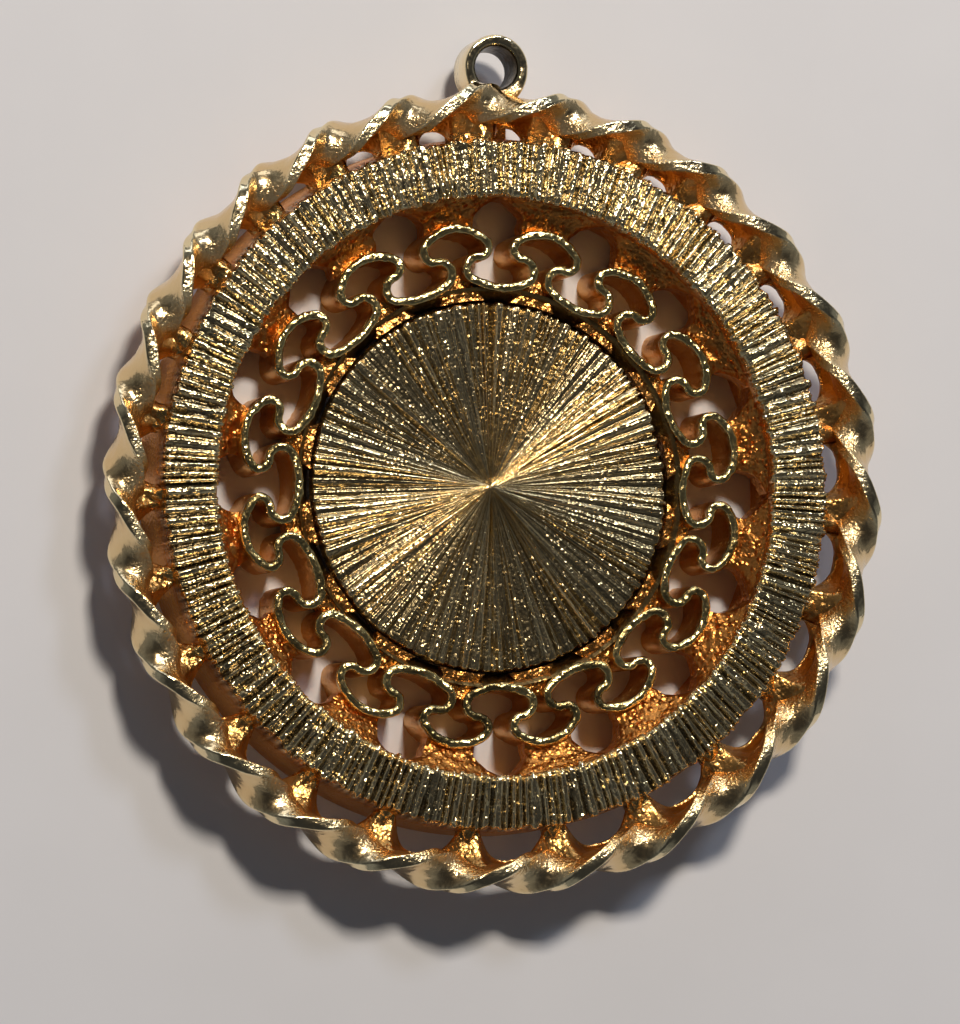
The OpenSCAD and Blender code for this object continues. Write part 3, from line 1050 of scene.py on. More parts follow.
@dataclass
class BarredRing:
    """The wide band with radial bars on its face and rough pads that reach down to the scroll caps."""

    bench: Bench
    outer: float = 22.25
    inner: float = 18.7
    draft: float = 0.25
    outer_draft: float = 0.3
    top: float = 5.82
    corner: float = 0.14
    inner_corner: float = 0.34
    face_cuts: int = 15
    side_cuts: int = 2
    steps: int = 2520
    sectors: int = 60
    bar_depth: float = 0.48
    scratch_depth: float = 0.035
    rubbed_share: float = 0.12
    beads: Lumps = Lumps(0.11, 0.4, seed=5)
    filling: Lumps = Lumps(0.55, 1.7, seed=6)
    wobble: Lumps = Lumps(0.06, 1.0, seed=3)
    groove_grime: float = 0.8
    face_slope: float = 0.085
    overhang: float = 0.24
    ragged_width: float = 0.45
    raggedness: float = 0.3
    swell: float = 0.24
    swell_at: float = 50.0
    pad_half_angle: float = 6.4
    pad_inner: float = 16.95
    pad_low: float = 3.1
    pad_low_sink: float = 0.3
    pad_high: float = 4.35
    pad_high_sink: float = 0.7
    pad_thickness: float = 1.5
    pad_cuts: int = 13
    pad_edges: Lumps = Lumps(0.8, 1.0, seed=11)
    pad_lumps: tuple[Lumps, Lumps] = (Lumps(0.16, 0.6, seed=20), Lumps(0.15, 0.34, seed=50))
    pad_shoulder: float = 0.35
    pad_tongue: float = 0.55
    pad_overlap: float = 0.2
    bars: RidgePattern = field(default_factory=lambda: RidgePattern(
        count=222, flat=0.3, seed=11, uneven_width=0.5, uneven_height=0.5))

    @property
    def middle(self) -> float:
        """Radius of the middle of the band."""
        return 0.5*(self.outer + self.inner)

    @property
    def half(self) -> float:
        """Half the band's width."""
        return 0.5*(self.outer - self.inner)

    def ring(self) -> bpy.types.Object:
        """Spins the band's section, then raises the bars on its face.

        Returns:
            The ring.
        """
        wall = self.half - NEAR
        face = self.top - NEAR
        ring = self.bench.add_section("barred_ring", self.middle, 0.5*self.top, self.outer - self.inner,
                                      self.top)
        with self.bench.editing(ring):
            for side, corner in ((-1, self.inner_corner), (1, self.corner)):
                self.bench.pick(ring, lambda p, s=side: p.z > face and s*(p.y - self.middle) > wall)
                bpy.ops.mesh.bevel(offset=corner*MM, segments=3, affect="VERTICES")
            self.bench.pick(ring, lambda p: p.z > face)
            bpy.ops.mesh.subdivide(number_cuts=self.face_cuts)
            for side in (-1, 1):
                self.bench.pick(ring, lambda p, s=side: s*(p.y - self.middle) > wall)
                bpy.ops.mesh.subdivide(number_cuts=self.side_cuts)
        ring = self.bench.revolve(ring, self.steps, self.sectors)
        # Painted shade in the grooves between the bars, none at the inner edge and less near the loop.
        self.bench.note(ring, "grime", self._grime(self.bench.places(ring)))
        self.bench.reshape(ring, self._barred)
        return ring

    def _grime(self, places: Points) -> Points:
        """Works out how much painted shade darkens each place: most in the grooves between the bars.

        Args:
            places: the plain band's vertices.

        Returns:
            One share for each vertex.
        """
        off_edge = blend(self.inner, self.inner + 0.6, radius_of(places))
        groove = blend(0.3, 0.8, 1 - self.bars.height(angle_of(places), radius_of(places) - self.middle))
        return self.groove_grime*self._face(places[:, 2])*off_edge*groove*(1 - 2*self._rubbed(places))

    def _face(self, height: Points) -> Points:
        """Returns 1 on the band's face and 0 well below it."""
        return blend(self.top - 0.7, self.top - 0.2, height)

    def _rubbed(self, places: Points) -> Points:
        """Returns how much lower the bars are worn at each place: most near the loop."""
        return self.rubbed_share*np.clip(toward(angle_of(places)), 0, 1)

    def _relief(self, places: Points) -> Points:
        """Returns the depth below the face at each place, from the bars and the scratches between them.

        Args:
            places: the plain band's vertices.

        Returns:
            One depth in millimetres for each vertex.
        """
        scratches = RidgePattern(count=700, flat=0.2, seed=12, skew=0.4)
        angle = angle_of(places)
        off = radius_of(places) - self.middle
        filled = self.filling.depth*blend(0.25, 0.5, self.filling.grain(flattened(places)))
        depth = self.bar_depth*(1 - self._rubbed(places))*(1 - filled)*(1 - self.bars.height(angle, off))
        beads = self.beads.depth*self.beads.share(flattened(places))
        slope = self.face_slope*(radius_of(places) - self.inner)
        return depth + self.scratch_depth*(1 - scratches.height(angle, off)) + beads + slope

    def _barred(self, places: Points) -> Points:
        """Cuts the bars into the face, makes both edges ragged and drafts the walls.

        Args:
            places: the plain band's vertices.

        Returns:
            The same vertices on the finished band.
        """
        angle, radius, height = angle_of(places), radius_of(places), places[:, 2].copy()
        face = self._face(height)
        relief = self._relief(places)
        middle = self.middle
        edge = blend(self.half - self.ragged_width, self.half, np.abs(radius - middle))
        ends = RidgePattern(count=272, flat=0.6, seed=13, uneven_height=0.9)
        inside = radius < middle
        ragged = self.raggedness*(1 - ends.height(angle, radius - middle))
        ragged = ragged - np.where(inside, self.overhang, 0)
        radius = radius - np.sign(radius - middle)*edge*face*ragged
        radius = radius + np.where(inside, self.draft, self.outer_draft)*edge*(1 - height/self.top)
        outward = np.clip((radius - self.inner)/(self.outer - self.inner), 0, 1)
        radius = radius + self.swell*outward*np.clip(0.4 + toward(angle, self.swell_at), 0, 2)
        walls = (1 - face)*edge
        wobble = self.wobble.share(np.stack([angle*0.35, height*0.4, radius*0], axis=1))
        radius = radius - np.sign(radius - middle)*walls*self.wobble.depth*wobble*blend(0, 0.6, height)
        height = height - face*relief
        return polar(angle, radius, height)

    def pads(self, cap_angles: list[float]) -> bpy.types.Object:
        """Builds the rough pads that slope from the ring's inner wall down to each scroll cap."""
        rules = [lambda p, a=angle, n=number: self._pad(p, a, n) for number, angle in enumerate(cap_angles)]
        return self.bench.lay(self.bench.add_block("pad", self.pad_cuts), rules, "cap_pads")

    def _pad(self, places: Points, middle: float, number: int) -> Points:
        """Lays a cube's grid between the ring's inner wall and one cap as a lumpy slope.

        Args:
            places: the cube's vertices.
            middle: the pad's angle.
            number: the pad's number, which gives it lumps of its own.

        Returns:
            The same vertices on the pad, which lies lower near the loop.
        """
        along, across, through = places.T
        share = across + 0.5
        spread = self.pad_half_angle*(0.85 + 0.95*share**3)
        ragged = self.pad_edges.over(np.stack([share*4, across*0, np.sign(along)*7], axis=1), number)
        angle = middle + 2*(spread + ragged)*along
        drop = self.pad_tongue*(2*np.abs(along))**2.2*(1 - share)
        radius = (self.pad_inner - drop)*(1 - share) + (self.inner + self.pad_overlap)*share
        shoulder = self.pad_shoulder*(2*np.abs(along))**3
        toward_light = math.cos(math.radians(middle))
        low = self.pad_low - self.pad_low_sink*toward_light
        high = self.pad_high - self.pad_high_sink*toward_light
        top = low + (high - low)*np.clip(share, 0, 1)**1.5 - shoulder
        height = top + (through - 0.5)*self.pad_thickness
        moved = polar(angle, radius, height)
        for lumps in self.pad_lumps:
            moved[:, 2] += np.where(through > 0.49, lumps.over(moved, number), 0)
        return moved

    def build(self, barred: bpy.types.Material, rough: bpy.types.Material,
              cap_angles: list[float]) -> None:
        """Models the ring and its pads, and hides the ring's CAD node.

        Args:
            barred: material of the ring.
            rough: material of the pads.
            cap_angles: angle of each scroll's cap in degrees.
        """
        ring = self.ring()
        # Painted shade, with unpolished plate: the walls below the face take the sheltered orange.
        below = 1 - blend(4.2, 5.3, self.bench.places(ring)[:, 2])
        self.bench.finish(ring, Slot.BARRED, barred, crease=75, shelter=below, cast=below)
        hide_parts("ridged_ring")
        pads = self.pads(cap_angles)
        # The pads take the sheltered orange all over, partly painted shade of the hollow they fill.
        self.bench.finish(pads, Slot.BARRED, rough, shelter=1.0)


@dataclass(frozen=True)
class Arc:
    """One arc of the scroll's wall.

    Attributes:
        radius: its radius in millimetres.
        turn: how far it turns, in degrees.
        side: the side that it turns to.
        steps: number of steps that it is spun in.
    """

    radius: float
    turn: float
    side: Side
    steps: int


@dataclass
class ScrollGallery:
    """One upright wall that runs round the disc as linked scrolls, with its collar and rough vee pads."""

    bench: Bench
    count: int = 16
    start: float = 11.3
    drift: float = 2.2
    drift_at: float = 8.0
    cap_top: float = 16.82
    bowl: float = 12.95
    top: float = 3.9
    bead: float = 0.28
    bead_sides: int = 14
    bead_crown: float = 0.5
    neck_share: float = 0.7
    neck_drop: float = 0.35
    neck_width: float = 0.24
    stem_drops: tuple[float, float] = (1.2, 1.9)
    stem_end: float = 0.45
    wall: float = 0.4
    shade_patches: Lumps = Lumps(0.75, 1.5, seed=81)
    shade_level: float = 0.54
    shade_swing: float = 0.46
    sway: Lumps = Lumps(0.07, 1.6, seed=1)
    waves: Lumps = Lumps(0.1, 1.1, seed=2)
    nicks: Lumps = Lumps(0.07, 0.28, seed=3)
    skin: Lumps = Lumps(0.06, 0.28, seed=4)
    cap_arc: float = 2.8
    cap_turn: float = 46.0
    end_arc: float = 0.66
    end_turn: float = 143.0
    nose_turn: float = 155.0
    collar_low: float = 1.2
    collar_top: float = 3.5
    collar_drop: float = 1.2
    collar_shift: float = 0.04
    collar_gap: float = 0.06
    collar_cuts: int = 4
    collar_steps: int = 720
    collar_lumps: Lumps = Lumps(0.12, 0.6, seed=7)
    collar_shelter: float = 0.45
    disc_radius: float = 12.0
    vee_cuts: int = 9
    vee_gap: float = 0.12
    vee_tip: float = 13.85
    vee_root_half: float = 1.5
    vee_tip_half: float = 0.42
    vee_top: float = 3.0
    vee_slope: float = 0.25
    vee_thickness: float = 1.6
    vee_lumps: Lumps = Lumps(0.2, 0.5, seed=90)
    vee_shelter: float = 0.7

    @property
    def pitch(self) -> float:
        """Angle from one scroll to the next in degrees."""
        return FULL_TURN/self.count

    def crowded(self, angle: Points) -> Points:
        """Returns where the pattern really stands: the scrolls crowd a little on one side."""
        return angle + self.drift*toward(angle, self.drift_at)

    def cap_angles(self) -> list[float]:
        """Returns the angle of each scroll's cap."""
        return [float(self.crowded(np.array(self.start + n*self.pitch))) for n in range(self.count)]

    @staticmethod
    def _way(heading: float, turn: float, side: Side) -> np.ndarray:
        """Returns the way from the start to the end of an arc with a radius of 1.

        Args:
            heading: direction at its start in degrees: 0 is along +X.
            turn: how far it turns, in degrees.
            side: the side that it turns to.

        Returns:
            The way along X and along Y.
        """
        first, last = math.radians(heading), math.radians(heading + side*turn)
        return side*np.array([math.sin(last) - math.sin(first), math.cos(first) - math.cos(last)])

    def arcs(self) -> list[Arc]:
        """Works out half a scroll's arcs.

        The last two radii follow from where the bowl's bottom has to lie.

        Returns:
            The arcs in order, from the cap's top to the bowl's bottom.
        """
        nose_heading = -self.cap_turn - self.end_turn
        bowl_heading = nose_heading + self.nose_turn
        bowl_turn = -self.pitch/2 - bowl_heading
        half = math.radians(self.pitch/2)
        left = self.bowl*np.array([math.sin(half), math.cos(half)]) - np.array([0, self.cap_top])
        left = left - self.cap_arc*self._way(0, self.cap_turn, Side.CLOCKWISE)
        left = left - self.end_arc*self._way(-self.cap_turn, self.end_turn, Side.CLOCKWISE)
        nose_way = self._way(nose_heading, self.nose_turn, Side.ANTICLOCKWISE)
        bowl_way = self._way(bowl_heading, bowl_turn, Side.ANTICLOCKWISE)
        nose, bowl = np.linalg.solve(np.stack([nose_way, bowl_way], axis=1), left)
        return [Arc(self.cap_arc, self.cap_turn, Side.CLOCKWISE, 18),
                Arc(self.end_arc, self.end_turn, Side.CLOCKWISE, 16),
                Arc(float(nose), self.nose_turn, Side.ANTICLOCKWISE, 18),
                Arc(float(bowl), bowl_turn, Side.ANTICLOCKWISE, 14)]

    def _keyhole(self) -> bpy.types.Object:
        """Adds the wall's upright section: a round bead on top of a plain stem.

        Returns:
            The section, closed at its foot.
        """
        middle = self.top - self.bead
        neck = middle - self.neck_share*self.bead
        bpy.ops.object.select_all(action="DESELECT")
        bpy.ops.mesh.primitive_circle_add(vertices=self.bead_sides, radius=self.bead*MM,
                                          rotation=(0, math.radians(90), 0),
                                          location=self.bench.at(0, self.cap_top, middle))
        section = self.bench.claim("scroll_wall")
        with self.bench.editing(section):
            self.bench.pick(section, lambda p: p.z < middle - 0.95*self.bead)
            bpy.ops.mesh.delete(type="VERT")
            self.bench.pick(section, lambda p: p.z < neck)
            self._extrude_down(self.neck_drop)
            self.bench.pick(section, lambda p: p.z < neck - 0.3)
            bpy.ops.transform.resize(value=(1, self.wall/self.neck_width, 1),
                                     center_override=self.bench.at(0, self.cap_top, 0))
            for drop in self.stem_drops:
                self._extrude_down(drop)
            self.bench.pick(section, lambda p: p.z < self.stem_end)
            bpy.ops.mesh.edge_face_add()
        self.bench.reshape(section, self._crowned)
        return section

    @staticmethod
    def _extrude_down(drop: float) -> None:
        """Extrudes what is selected straight down by some millimetres."""
        bpy.ops.mesh.extrude_region_move(TRANSFORM_OT_translate={"value": (0, 0, -drop*MM)})

    def _crowned(self, places: Points) -> Points:
        """Flattens the bead's upper half and ends the stem on the table.

        Args:
            places: the round section's vertices.

        Returns:
            The same vertices on the finished section.
        """
        moved = places.copy()
        height = places[:, 2]
        crowned = self.top - self.bead_crown*(self.top - height)
        moved[:, 2] = np.where(height > self.top - self.bead - NEAR, crowned, np.maximum(height, 0))
        return moved

    def half_scroll(self) -> bpy.types.Object:
        """Spins the section along the arcs of half a scroll.

        Returns:
            The half scroll's wall.
        """
        wall = self._keyhole()
        place, heading = np.array([0.0, self.cap_top]), 0.0
        with self.bench.editing(wall):
            bpy.ops.mesh.select_all(action="SELECT")
            for arc in self.arcs():
                facing = math.radians(heading)
                middle = place + arc.side*arc.radius*np.array([-math.sin(facing), math.cos(facing)])
                self.bench.spin(arc.steps, -arc.side*arc.turn, (float(middle[0]), float(middle[1])))
                place = place + arc.radius*self._way(heading, arc.turn, arc.side)
                heading += arc.side*arc.turn
        return wall

    def wall_round(self) -> bpy.types.Object:
        """Mirrors the half scroll, copies it round and bends the copies to their uneven places.

        Returns:
            The whole wall.
        """
        half = self.half_scroll()
        twin = self.bench.copy(half, "scroll_twin")
        self.bench.reshape(twin, lambda p: p*np.array([-1, 1, 1]))
        scroll = self.bench.join([half, twin], "scroll")
        rules = [lambda p, n=number: self._carried(p, n) for number in range(self.count)]
        wall = self.bench.lay(scroll, rules, "scroll_wall")
        self.bench.close_up(wall, reach=0.02)
        self.bench.reshape(wall, self._hand_cut)
        return wall

    def _carried(self, places: Points, number: int) -> Points:
        """Carries the first scroll to another one's place round the gallery.

        Args:
            places: the first scroll's vertices.
            number: the other one's number.

        Returns:
            The same vertices at its place.
        """
        angle = np.degrees(np.arctan2(places[:, 0], places[:, 1]))
        angle = self.crowded(angle + self.start + number*self.pitch)
        return polar(angle, radius_of(places), places[:, 2])

    def _hand_cut(self, places: Points) -> Points:
        """Gives the wall the slight unevenness of a wax that was cut by hand.

        Args:
            places: the even wall's vertices.

        Returns:
            The same vertices, swayed to both sides and lumpy, most so along the top.
        """
        flat = flattened(places)
        upper = blend(1.5, self.top - 0.4, places[:, 2])
        sway = self.sway.over(flat)*(0.3 + 0.7*upper)
        rise = (self.waves.over(flat) + self.nicks.over(flat))*upper
        lump = self.skin.over(places)
        height = np.minimum(places[:, 2] + rise, self.top + 0.1)
        return polar(angle_of(places) + sway*2 + 2*lump, radius_of(places) + sway + lump, height)

    def collar(self) -> bpy.types.Object:
        """Spins the low collar between the bowls and the disc.

        Returns:
            The collar.
        """
        width = self.bowl - self.disc_radius
        middle = 0.5*(self.bowl + self.disc_radius)
        rise = self.collar_top - self.collar_low
        collar = self.bench.add_section("disc_collar", middle + self.collar_shift,
                                        self.collar_low + 0.5*rise, width - self.collar_gap, rise)
        with self.bench.editing(collar):
            self.bench.pick(collar, lambda p: p.z > self.collar_top - NEAR)
            bpy.ops.mesh.subdivide(number_cuts=self.collar_cuts)
        collar = self.bench.revolve(collar, self.collar_steps, self.count)
        self.bench.reshape(collar, self._worn_collar)
        return collar

    def _worn_collar(self, places: Points) -> Points:
        """Slopes the collar's top down to the disc and makes it uneven, as cast.

        Args:
            places: the plain collar's vertices.

        Returns:
            The same vertices on the sloped collar.
        """
        upper = places[:, 2] > self.collar_top - 0.3
        moved = places.copy()
        outward = blend(self.disc_radius, self.bowl, radius_of(places))
        lowered = -self.collar_drop*(1 - outward) + self.collar_lumps.over(places)
        moved[:, 2] += np.where(upper, lowered, 0)
        return moved

    def vees(self) -> bpy.types.Object:
        """Builds the rough pads in the vees between the bowls.

        Returns:
            The pads, joined.
        """
        angles = self.cap_angles()
        rules = [lambda p, a=angle, n=number: self._vee(p, a, n) for number, angle in enumerate(angles)]
        return self.bench.lay(self.bench.add_block("vee", self.vee_cuts), rules, "vee_pads")

    def _vee(self, places: Points, middle: float, number: int) -> Points:
        """Lays a cube's grid as one lumpy pad that narrows outwards.

        Args:
            places: the cube's vertices.
            middle: the pad's angle.
            number: the pad's number, which gives it lumps of its own.

        Returns:
            The same vertices on the pad.
        """
        along, across, through = places.T
        share = across + 0.5
        inner = self.disc_radius + self.vee_gap
        radius = inner + (self.vee_tip - inner)*share
        half_width = self.vee_root_half*(1 - share) + self.vee_tip_half*share
        angle = middle + np.degrees(2*half_width*along/radius)
        top = self.vee_top + self.vee_slope*(1 - share)
        height = top + (through - 0.5)*self.vee_thickness
        moved = polar(angle, radius, height)
        moved[:, 2] += np.where(through > 0.49, self.vee_lumps.over(moved, number), 0)
        return moved

    def build(self, edged: bpy.types.Material, rough: bpy.types.Material) -> None:
        """Models the wall, the collar and the pads, and hides the wall's CAD node.

        Args:
            edged: material of the wall and the collar.
            rough: material of the pads.
        """
        wall = self.wall_round()
        places = self.bench.places(wall)
        # Painted shade, with unpolished plate: the wall's lower sides take the sheltered orange.
        shelter = 1 - blend(self.top - 1.2, self.top - 0.15, places[:, 2])
        crest = blend(self.top - 0.6, self.top - 0.2, places[:, 2])
        # Painted shade: the wire's top is darkened in patches, most on the side away from the light.
        away_from_light = self.shade_level - self.shade_swing*toward(angle_of(places))
        shade_patches = self.shade_patches.depth*away_from_light*blend(-0.2, 0.3, self.shade_patches.grain(places))
        self.bench.finish(wall, Slot.GALLERY, edged, shelter=shelter, cast=0.8*(1 - crest),
                          grime=crest*shade_patches)
        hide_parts("scroll_gallery")
        collar, vees = self.collar(), self.vees()
        # Painted shade: the collar, deep in its trench, is darkened all over and takes a share of the
        # sheltered orange.
        self.bench.finish(collar, Slot.GALLERY, edged, shelter=self.collar_shelter, grime=self.shade_patches.depth)
        # The vee pads take most of the sheltered orange, partly painted shade of the vees.
        self.bench.finish(vees, Slot.GALLERY, rough, shelter=self.vee_shelter)


@dataclass
class SunburstDisc:
    """The centre disc, covered with irregular ridges that run out from its middle."""

    bench: Bench
    radius: float = 11.98
    under: float = 2.6
    top: float = 3.8
    dish: float = 0.4
    rim_round: float = 0.12
    ray_cuts: int = 33
    steps: int = 1440
    sectors: int = 36
    ray_depth: float = 0.42
    line_depth: float = 0.05
    group_depth: float = 0.46
    lumps: Lumps = Lumps(0.1, 0.42, seed=37)
    ragged_end: float = 0.16
    groove_grime: float = 0.58
    group_grime: float = 0.9
    rays: RidgePattern = field(default_factory=lambda: RidgePattern(
        count=104, flat=0.34, seed=31, skew=0.3, uneven_width=0.6))
    groups: RidgePattern = field(default_factory=lambda: RidgePattern(
        count=34, flat=0.45, seed=35, skew=0.1, uneven_width=0.8, uneven_height=0.9))

    def disc(self) -> bpy.types.Object:
        """Spins half the disc's section round its middle, then raises the rays.

        Returns:
            The disc.
        """
        disc = self.bench.add_section("sunburst", 0.5*self.radius, 0.5*(self.under + self.top), self.radius,
                                      self.top - self.under)
        face = self.top - NEAR
        with self.bench.editing(disc):
            self.bench.pick(disc, lambda p: p.y < NEAR)
            bpy.ops.mesh.delete(type="EDGE")
            self.bench.pick(disc, lambda p: p.z > face and p.y > NEAR)
            bpy.ops.mesh.bevel(offset=self.rim_round*MM, segments=2, affect="VERTICES")
            self.bench.pick(disc, lambda p: p.z > face)
            bpy.ops.mesh.subdivide(number_cuts=self.ray_cuts)
        disc = self.bench.revolve(disc, self.steps, self.sectors)
        # Painted shade in the grooves between the rays and between their groups.
        self.bench.note(disc, "grime", self._grime(self.bench.places(disc)))
        self.bench.reshape(disc, self._rayed)
        return disc

    def _grime(self, places: Points) -> Points:
        """Works out how much painted shade darkens each place: most in the grooves between the rays and the
        gaps between their groups.

        Args:
            places: the plain disc's vertices.

        Returns:
            One share for each vertex.
        """
        off_rim = radius_of(places) - self.radius
        ridge = self.rays.height(angle_of(places), off_rim)
        group = self.groups.height(angle_of(places), off_rim)
        gaps = blend(0.3, 0.7, 1 - ridge) + self.group_grime*blend(0.35, 0.8, 1 - group)
        return self.groove_grime*np.clip(gaps, 0, 1)*blend(0.0, 1.2, radius_of(places))

    def _rayed(self, places: Points) -> Points:
        """Raises the rays and dishes the face a little.

        Args:
            places: the plain disc's vertices.

        Returns:
            The same vertices, cut down between the rays, the fine lines and the groups of rays.
        """
        lines = RidgePattern(count=400, flat=0.2, seed=32, skew=0.6)
        angle, radius = angle_of(places), radius_of(places)
        share, off_rim = radius/self.radius, radius - self.radius
        face = blend(self.top - 0.5, self.top - 0.2, places[:, 2])
        gap = 1 - self.rays.height(angle, off_rim)
        depth = self.ray_depth*share**0.8*gap
        depth = depth + self.line_depth*share*(1 - lines.height(angle, off_rim))
        depth = depth + self.group_depth*share**0.5*(1 - self.groups.height(angle, off_rim))
        depth = depth + self.lumps.depth*share*self.lumps.share(flattened(places))
        inset = self.ragged_end*gap*face*blend(0.97, 0.995, share)
        return polar(angle, radius - inset, places[:, 2] - face*(depth + self.dish*(1 - share)))

    def build(self, rayed: bpy.types.Material) -> None:
        """Models the disc and hides its CAD node.

        Args:
            rayed: material of the disc.
        """
        disc = self.disc()
        radius = radius_of(self.bench.places(disc))
        self.bench.finish(disc, Slot.SUNBURST, rayed, crease=75, shelter=0.0,
                          smooth=1 - blend(1.5, 6.0, radius))
        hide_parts("sunburst_disc")


@dataclass
class HangingLoop:
    """The cast loop at the top: an arch round a flared hole, with its foot under the ribbon."""

    bench: Bench
    hole: float = 1.3
    outer: float = 2.14
    middle: float = 27.15
    back: float = 1.9
    front: float = 4.75
    leg_end: float = 24.6
    inner_round: float = 0.34
    outer_round: float = 0.22
    flare: float = 0.1
    back_round: float = 0.2
    steps: int = 96
    dents: Lumps = Lumps(0.1, 0.9, seed=61)
    hole_grime: float = 0.9
    foot_cuts: int = 7
    foot_width: float = 2.4
    foot_top: float = 2.82
    foot_overlap: float = 0.8
    foot_round: float = 0.18
    ring_radius: float = 22.3

    def arch(self) -> bpy.types.Object:
        """Spins the loop's section round the hole and pulls its lower half down to legs.

        Returns:
            The arch.
        """
        wide = self.outer - self.hole
        middle = self.middle + self.hole + 0.5*wide
        arch = self.bench.add_section("loop_arch", middle, 0.5*(self.back + self.front), wide,
                                      self.front - self.back)
        side_wall = 0.5*wide - NEAR
        with self.bench.editing(arch):
            for side, corner in ((-1, self.inner_round), (1, self.outer_round)):
                self.bench.pick(arch, lambda p, s=side: p.z > self.front - NEAR
                                and s*(p.y - middle) > side_wall)
                bpy.ops.mesh.bevel(offset=corner*MM, segments=6, affect="VERTICES")
            self.bench.pick(arch, lambda p: p.z < self.back + NEAR)
            bpy.ops.mesh.bevel(offset=self.back_round*MM, segments=3, affect="VERTICES")
            bpy.ops.mesh.select_all(action="SELECT")
            self.bench.spin(self.steps, FULL_TURN, (0.0, self.middle))
        self.bench.close_up(arch)
        self.bench.reshape(arch, self._arched)
        return arch

    def _arched(self, places: Points) -> Points:
        """Pulls the outside of the lower half down to legs and dents the casting softly.

        Args:
            places: the plain round loop's vertices.

        Returns:
            The same vertices on the arch, its hole flared towards the front.
        """
        moved = places.copy()
        off_x, off_y = places[:, 0], places[:, 1] - self.middle
        reach = np.hypot(off_x, off_y)
        outside = blend(self.hole + 0.1, self.outer - 0.1, reach)
        pull = np.where(off_y < 0, outside*(-off_y/reach), 0)
        moved[:, 1] -= pull*(self.middle - self.outer - self.leg_end)
        opened = self.flare*(1 - outside)*blend(self.back + 0.4, self.front, places[:, 2])
        moved[:, 0] += opened*off_x/reach
        moved[:, 1] += opened*off_y/reach
        front = blend(self.front - 1.0, self.front, places[:, 2])
        moved[:, 2] -= front*self.dents.depth*self.dents.share(places)
        return moved

    def foot(self) -> bpy.types.Object:
        """Builds the foot that runs under the ribbon to the ring's side.

        Returns:
            The foot.
        """
        foot = self.bench.add_block("loop_foot", self.foot_cuts)
        self.bench.reshape(foot, self._footed)
        self.bench.modify(foot, "BEVEL", width=self.foot_round*MM, segments=2, limit_method="ANGLE")
        return foot

    def _footed(self, places: Points) -> Points:
        """Stretches a cube's grid from the ring's side to the legs.

        Args:
            places: the cube's vertices.

        Returns:
            The same vertices on the foot.
        """
        length = self.middle - self.outer - self.ring_radius + self.foot_overlap
        across, along, through = places.T
        return np.stack([across*self.foot_width, self.ring_radius + length*(along + 0.5),
                         self.back + (self.foot_top - self.back)*(through + 0.5)], axis=1)

    def build(self, polished: bpy.types.Material) -> None:
        """Models the loop and hides its CAD node.

        Args:
            polished: material of the loop.
        """
        loop = self.bench.join([self.arch(), self.foot()], "hanging_arch")
        places = self.bench.places(loop)
        reach = np.hypot(places[:, 0], places[:, 1] - self.middle)
        # Painted shade darkens the wall of the hole; the legs and foot near the ribbon take the sheltered
        # orange, partly painted shade.
        grime = self.hole_grime*(1 - blend(self.hole + 0.16, self.hole + 0.34, reach))
        self.bench.finish(loop, Slot.LOOP, polished, shelter=1 - blend(24.5, 26.5, places[:, 1]),
                          cast=1 - blend(25.4, 26.2, places[:, 1]), grime=grime)
        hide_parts("hanging_loop")


@dataclass(frozen=True)
class Lamp:
    """One soft panel of light.

    Attributes:
        name: name of the light.
        heading: angle round the pendant in degrees, clockwise from +Y.
        elevation: height angle in degrees.
        distance: distance in metres.
        size: width and height of the panel in metres.
        power: power in watts.
        colour: sRGB hex colour.
    """

    name: str
    heading: float
    elevation: float
    distance: float
    size: tuple[float, float]
    power: float
    colour: str


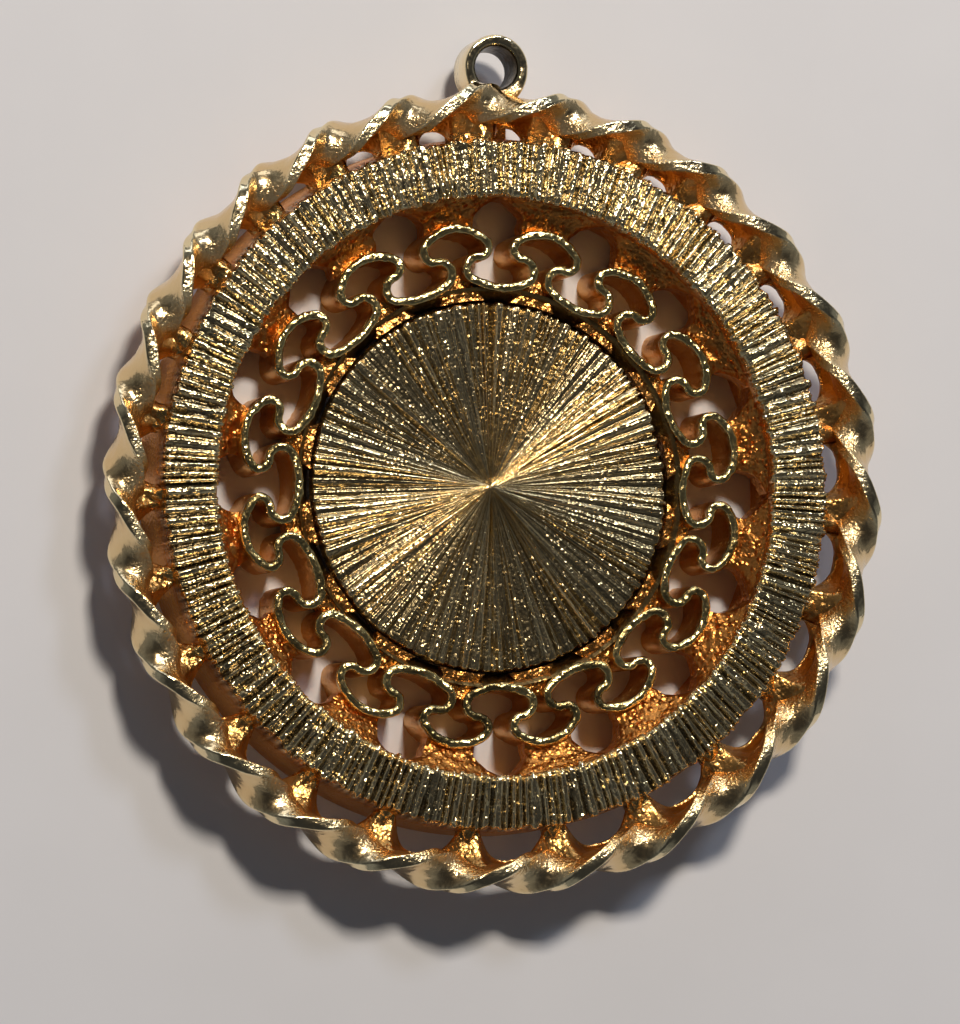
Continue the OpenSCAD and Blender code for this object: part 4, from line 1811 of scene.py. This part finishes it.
@dataclass
class Studio:
    """The pale table, the window light and the camera at the photograph's angle."""

    bench: Bench
    lamps: tuple[Lamp, ...] = (
        Lamp("window", heading=4, elevation=58, distance=0.45, size=(0.065, 0.06), power=1.5,
             colour="FFF2DE"),
        Lamp("cool_window", heading=30, elevation=46, distance=0.8, size=(0.14, 0.12), power=0.9,
             colour="DDEBFF"),
        Lamp("sky", heading=0, elevation=16, distance=0.8, size=(0.7, 0.16), power=0.7, colour="E6EEFF"))
    table_size: float = 1.6
    card_shades: tuple[str, str] = ("DBDCE3", "E1E2E9")
    card_dull: float = 0.8
    fibre_size: float = 9.0
    room_low: str = "7A7E82"
    room_high: str = "34363A"
    room_dims_from: float = 0.25
    room_dims_to: float = 0.85
    room_strength: float = 0.8
    camera_from: tuple[float, float, float] = (-100.0, -23.0, 334.0)
    face_height: float = 5.8
    focal: float = 200.8
    sensor: float = 36.0
    picture_width: int = 960
    picture_height: int = 1024
    axis_pixel: tuple[float, float] = (503.0, 484.0)
    pixels_per_mm: float = 15.57

    def camera(self) -> None:
        """Places the camera so that the axis meets the ring's face at its pixel of the photograph."""
        eye = self.bench.at(*self.camera_from)
        aim_x = (self.picture_width/2 - self.axis_pixel[0])/self.pixels_per_mm
        aim_y = (self.axis_pixel[1] - self.picture_height/2)/self.pixels_per_mm
        target = self.bench.at(aim_x, aim_y, self.face_height)
        back = (eye - target).normalized()
        right = Vector((0, 1, 0)).cross(back).normalized()
        upward = back.cross(right)
        data = bpy.data.cameras.new("camera")
        data.lens, data.sensor_width, data.sensor_fit = self.focal, self.sensor, "HORIZONTAL"
        camera = bpy.data.objects.new("camera", data)
        bpy.context.scene.collection.objects.link(camera)
        turned = Matrix((right, upward, back)).transposed().to_4x4()
        camera.matrix_world = Matrix.Translation(eye) @ turned
        bpy.context.scene.camera = camera

    def table(self) -> None:
        """Lays the pale table under the pendant."""
        bpy.ops.object.select_all(action="DESELECT")
        bpy.ops.mesh.primitive_plane_add(size=self.table_size, location=(0, 0, 0))
        table = bpy.context.active_object
        table.name = "table"
        table.data.materials.append(self.matt_card())

    def matt_card(self) -> bpy.types.Material:
        """Makes the table's material: pressed paper card, a little cloudy from its matted fibres.

        Returns:
            The material.
        """
        material = bpy.data.materials.new("matt_card")
        material.use_nodes = True
        tree = material.node_tree
        shader = tree.nodes["Principled BSDF"]
        shader.inputs["Roughness"].default_value = self.card_dull
        place = add_node(tree, "TexCoord").outputs["Object"]
        fibre = add_node(tree, "TexNoise", links={
            "Vector": place, "Scale": 1/(self.fibre_size*MM), "Detail": 5.0}).outputs["Fac"]
        dark, light = (to_linear(shade) for shade in self.card_shades)
        tint = add_node(tree, "MixRGB", links={"Fac": fibre, "Color1": dark, "Color2": light})
        tree.links.new(tint.outputs["Color"], shader.inputs["Base Color"])
        return material

    def hang(self, lamp: Lamp) -> None:
        """Hangs one panel of light so that it faces the pendant.

        Args:
            lamp: the panel.
        """
        data = bpy.data.lights.new(lamp.name, "AREA")
        data.shape, data.size, data.size_y = "RECTANGLE", *lamp.size
        data.energy, data.color = lamp.power, to_linear(lamp.colour)[:3]
        turn, rise = math.radians(lamp.heading), math.radians(lamp.elevation)
        away = Vector((math.sin(turn)*math.cos(rise), math.cos(turn)*math.cos(rise), math.sin(rise)))
        panel = bpy.data.objects.new(lamp.name, data)
        bpy.context.scene.collection.objects.link(panel)
        facing = away.to_track_quat("Z", "Y").to_matrix().to_4x4()
        panel.matrix_world = Matrix.Translation(self.bench.centre + away*lamp.distance) @ facing

    def room(self) -> None:
        """Surrounds the table with a grey room that is darker overhead."""
        world = bpy.data.worlds.new("room")
        world.use_nodes = True
        tree = world.node_tree
        way = add_node(tree, "TexCoord").outputs["Generated"]
        rise = add_node(tree, "SeparateXYZ", links={0: way}).outputs["Z"]
        share = add_node(tree, "MapRange", {"interpolation_type": "SMOOTHSTEP"}, {
            "Value": rise, "From Min": self.room_dims_from, "From Max": self.room_dims_to}).outputs["Result"]
        colour = add_node(tree, "MixRGB", links={
            "Fac": share, "Color1": to_linear(self.room_low), "Color2": to_linear(self.room_high)})
        tree.links.new(colour.outputs["Color"], tree.nodes["Background"].inputs["Color"])
        tree.nodes["Background"].inputs["Strength"].default_value = self.room_strength
        bpy.context.scene.world = world

    def build(self) -> None:
        """Sets the room, the table, the lights and the camera."""
        bpy.context.scene.view_settings.view_transform = "Standard"
        self.room()
        self.table()
        for lamp in self.lamps:
            self.hang(lamp)
        self.camera()


def main() -> None:
    """Dresses the pendant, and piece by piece."""
    logging.basicConfig(level=logging.INFO, format="%(name)s: %(message)s")
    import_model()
    bench = Bench.from_frame()
    gold = {finish: finish.value.build() for finish in Finish}
    gallery = ScrollGallery(bench)
    TwistedBorder(bench, RibbonTwist()).build(gold[Finish.POLISHED], gold[Finish.CAST])
    BarredRing(bench).build(gold[Finish.BARRED], gold[Finish.ROUGH], gallery.cap_angles())
    gallery.build(gold[Finish.EDGED], gold[Finish.ROUGH])
    SunburstDisc(bench).build(gold[Finish.RAYED])
    HangingLoop(bench).build(gold[Finish.POLISHED])
    Studio(bench).build()


if __name__ == "__main__":
    main()
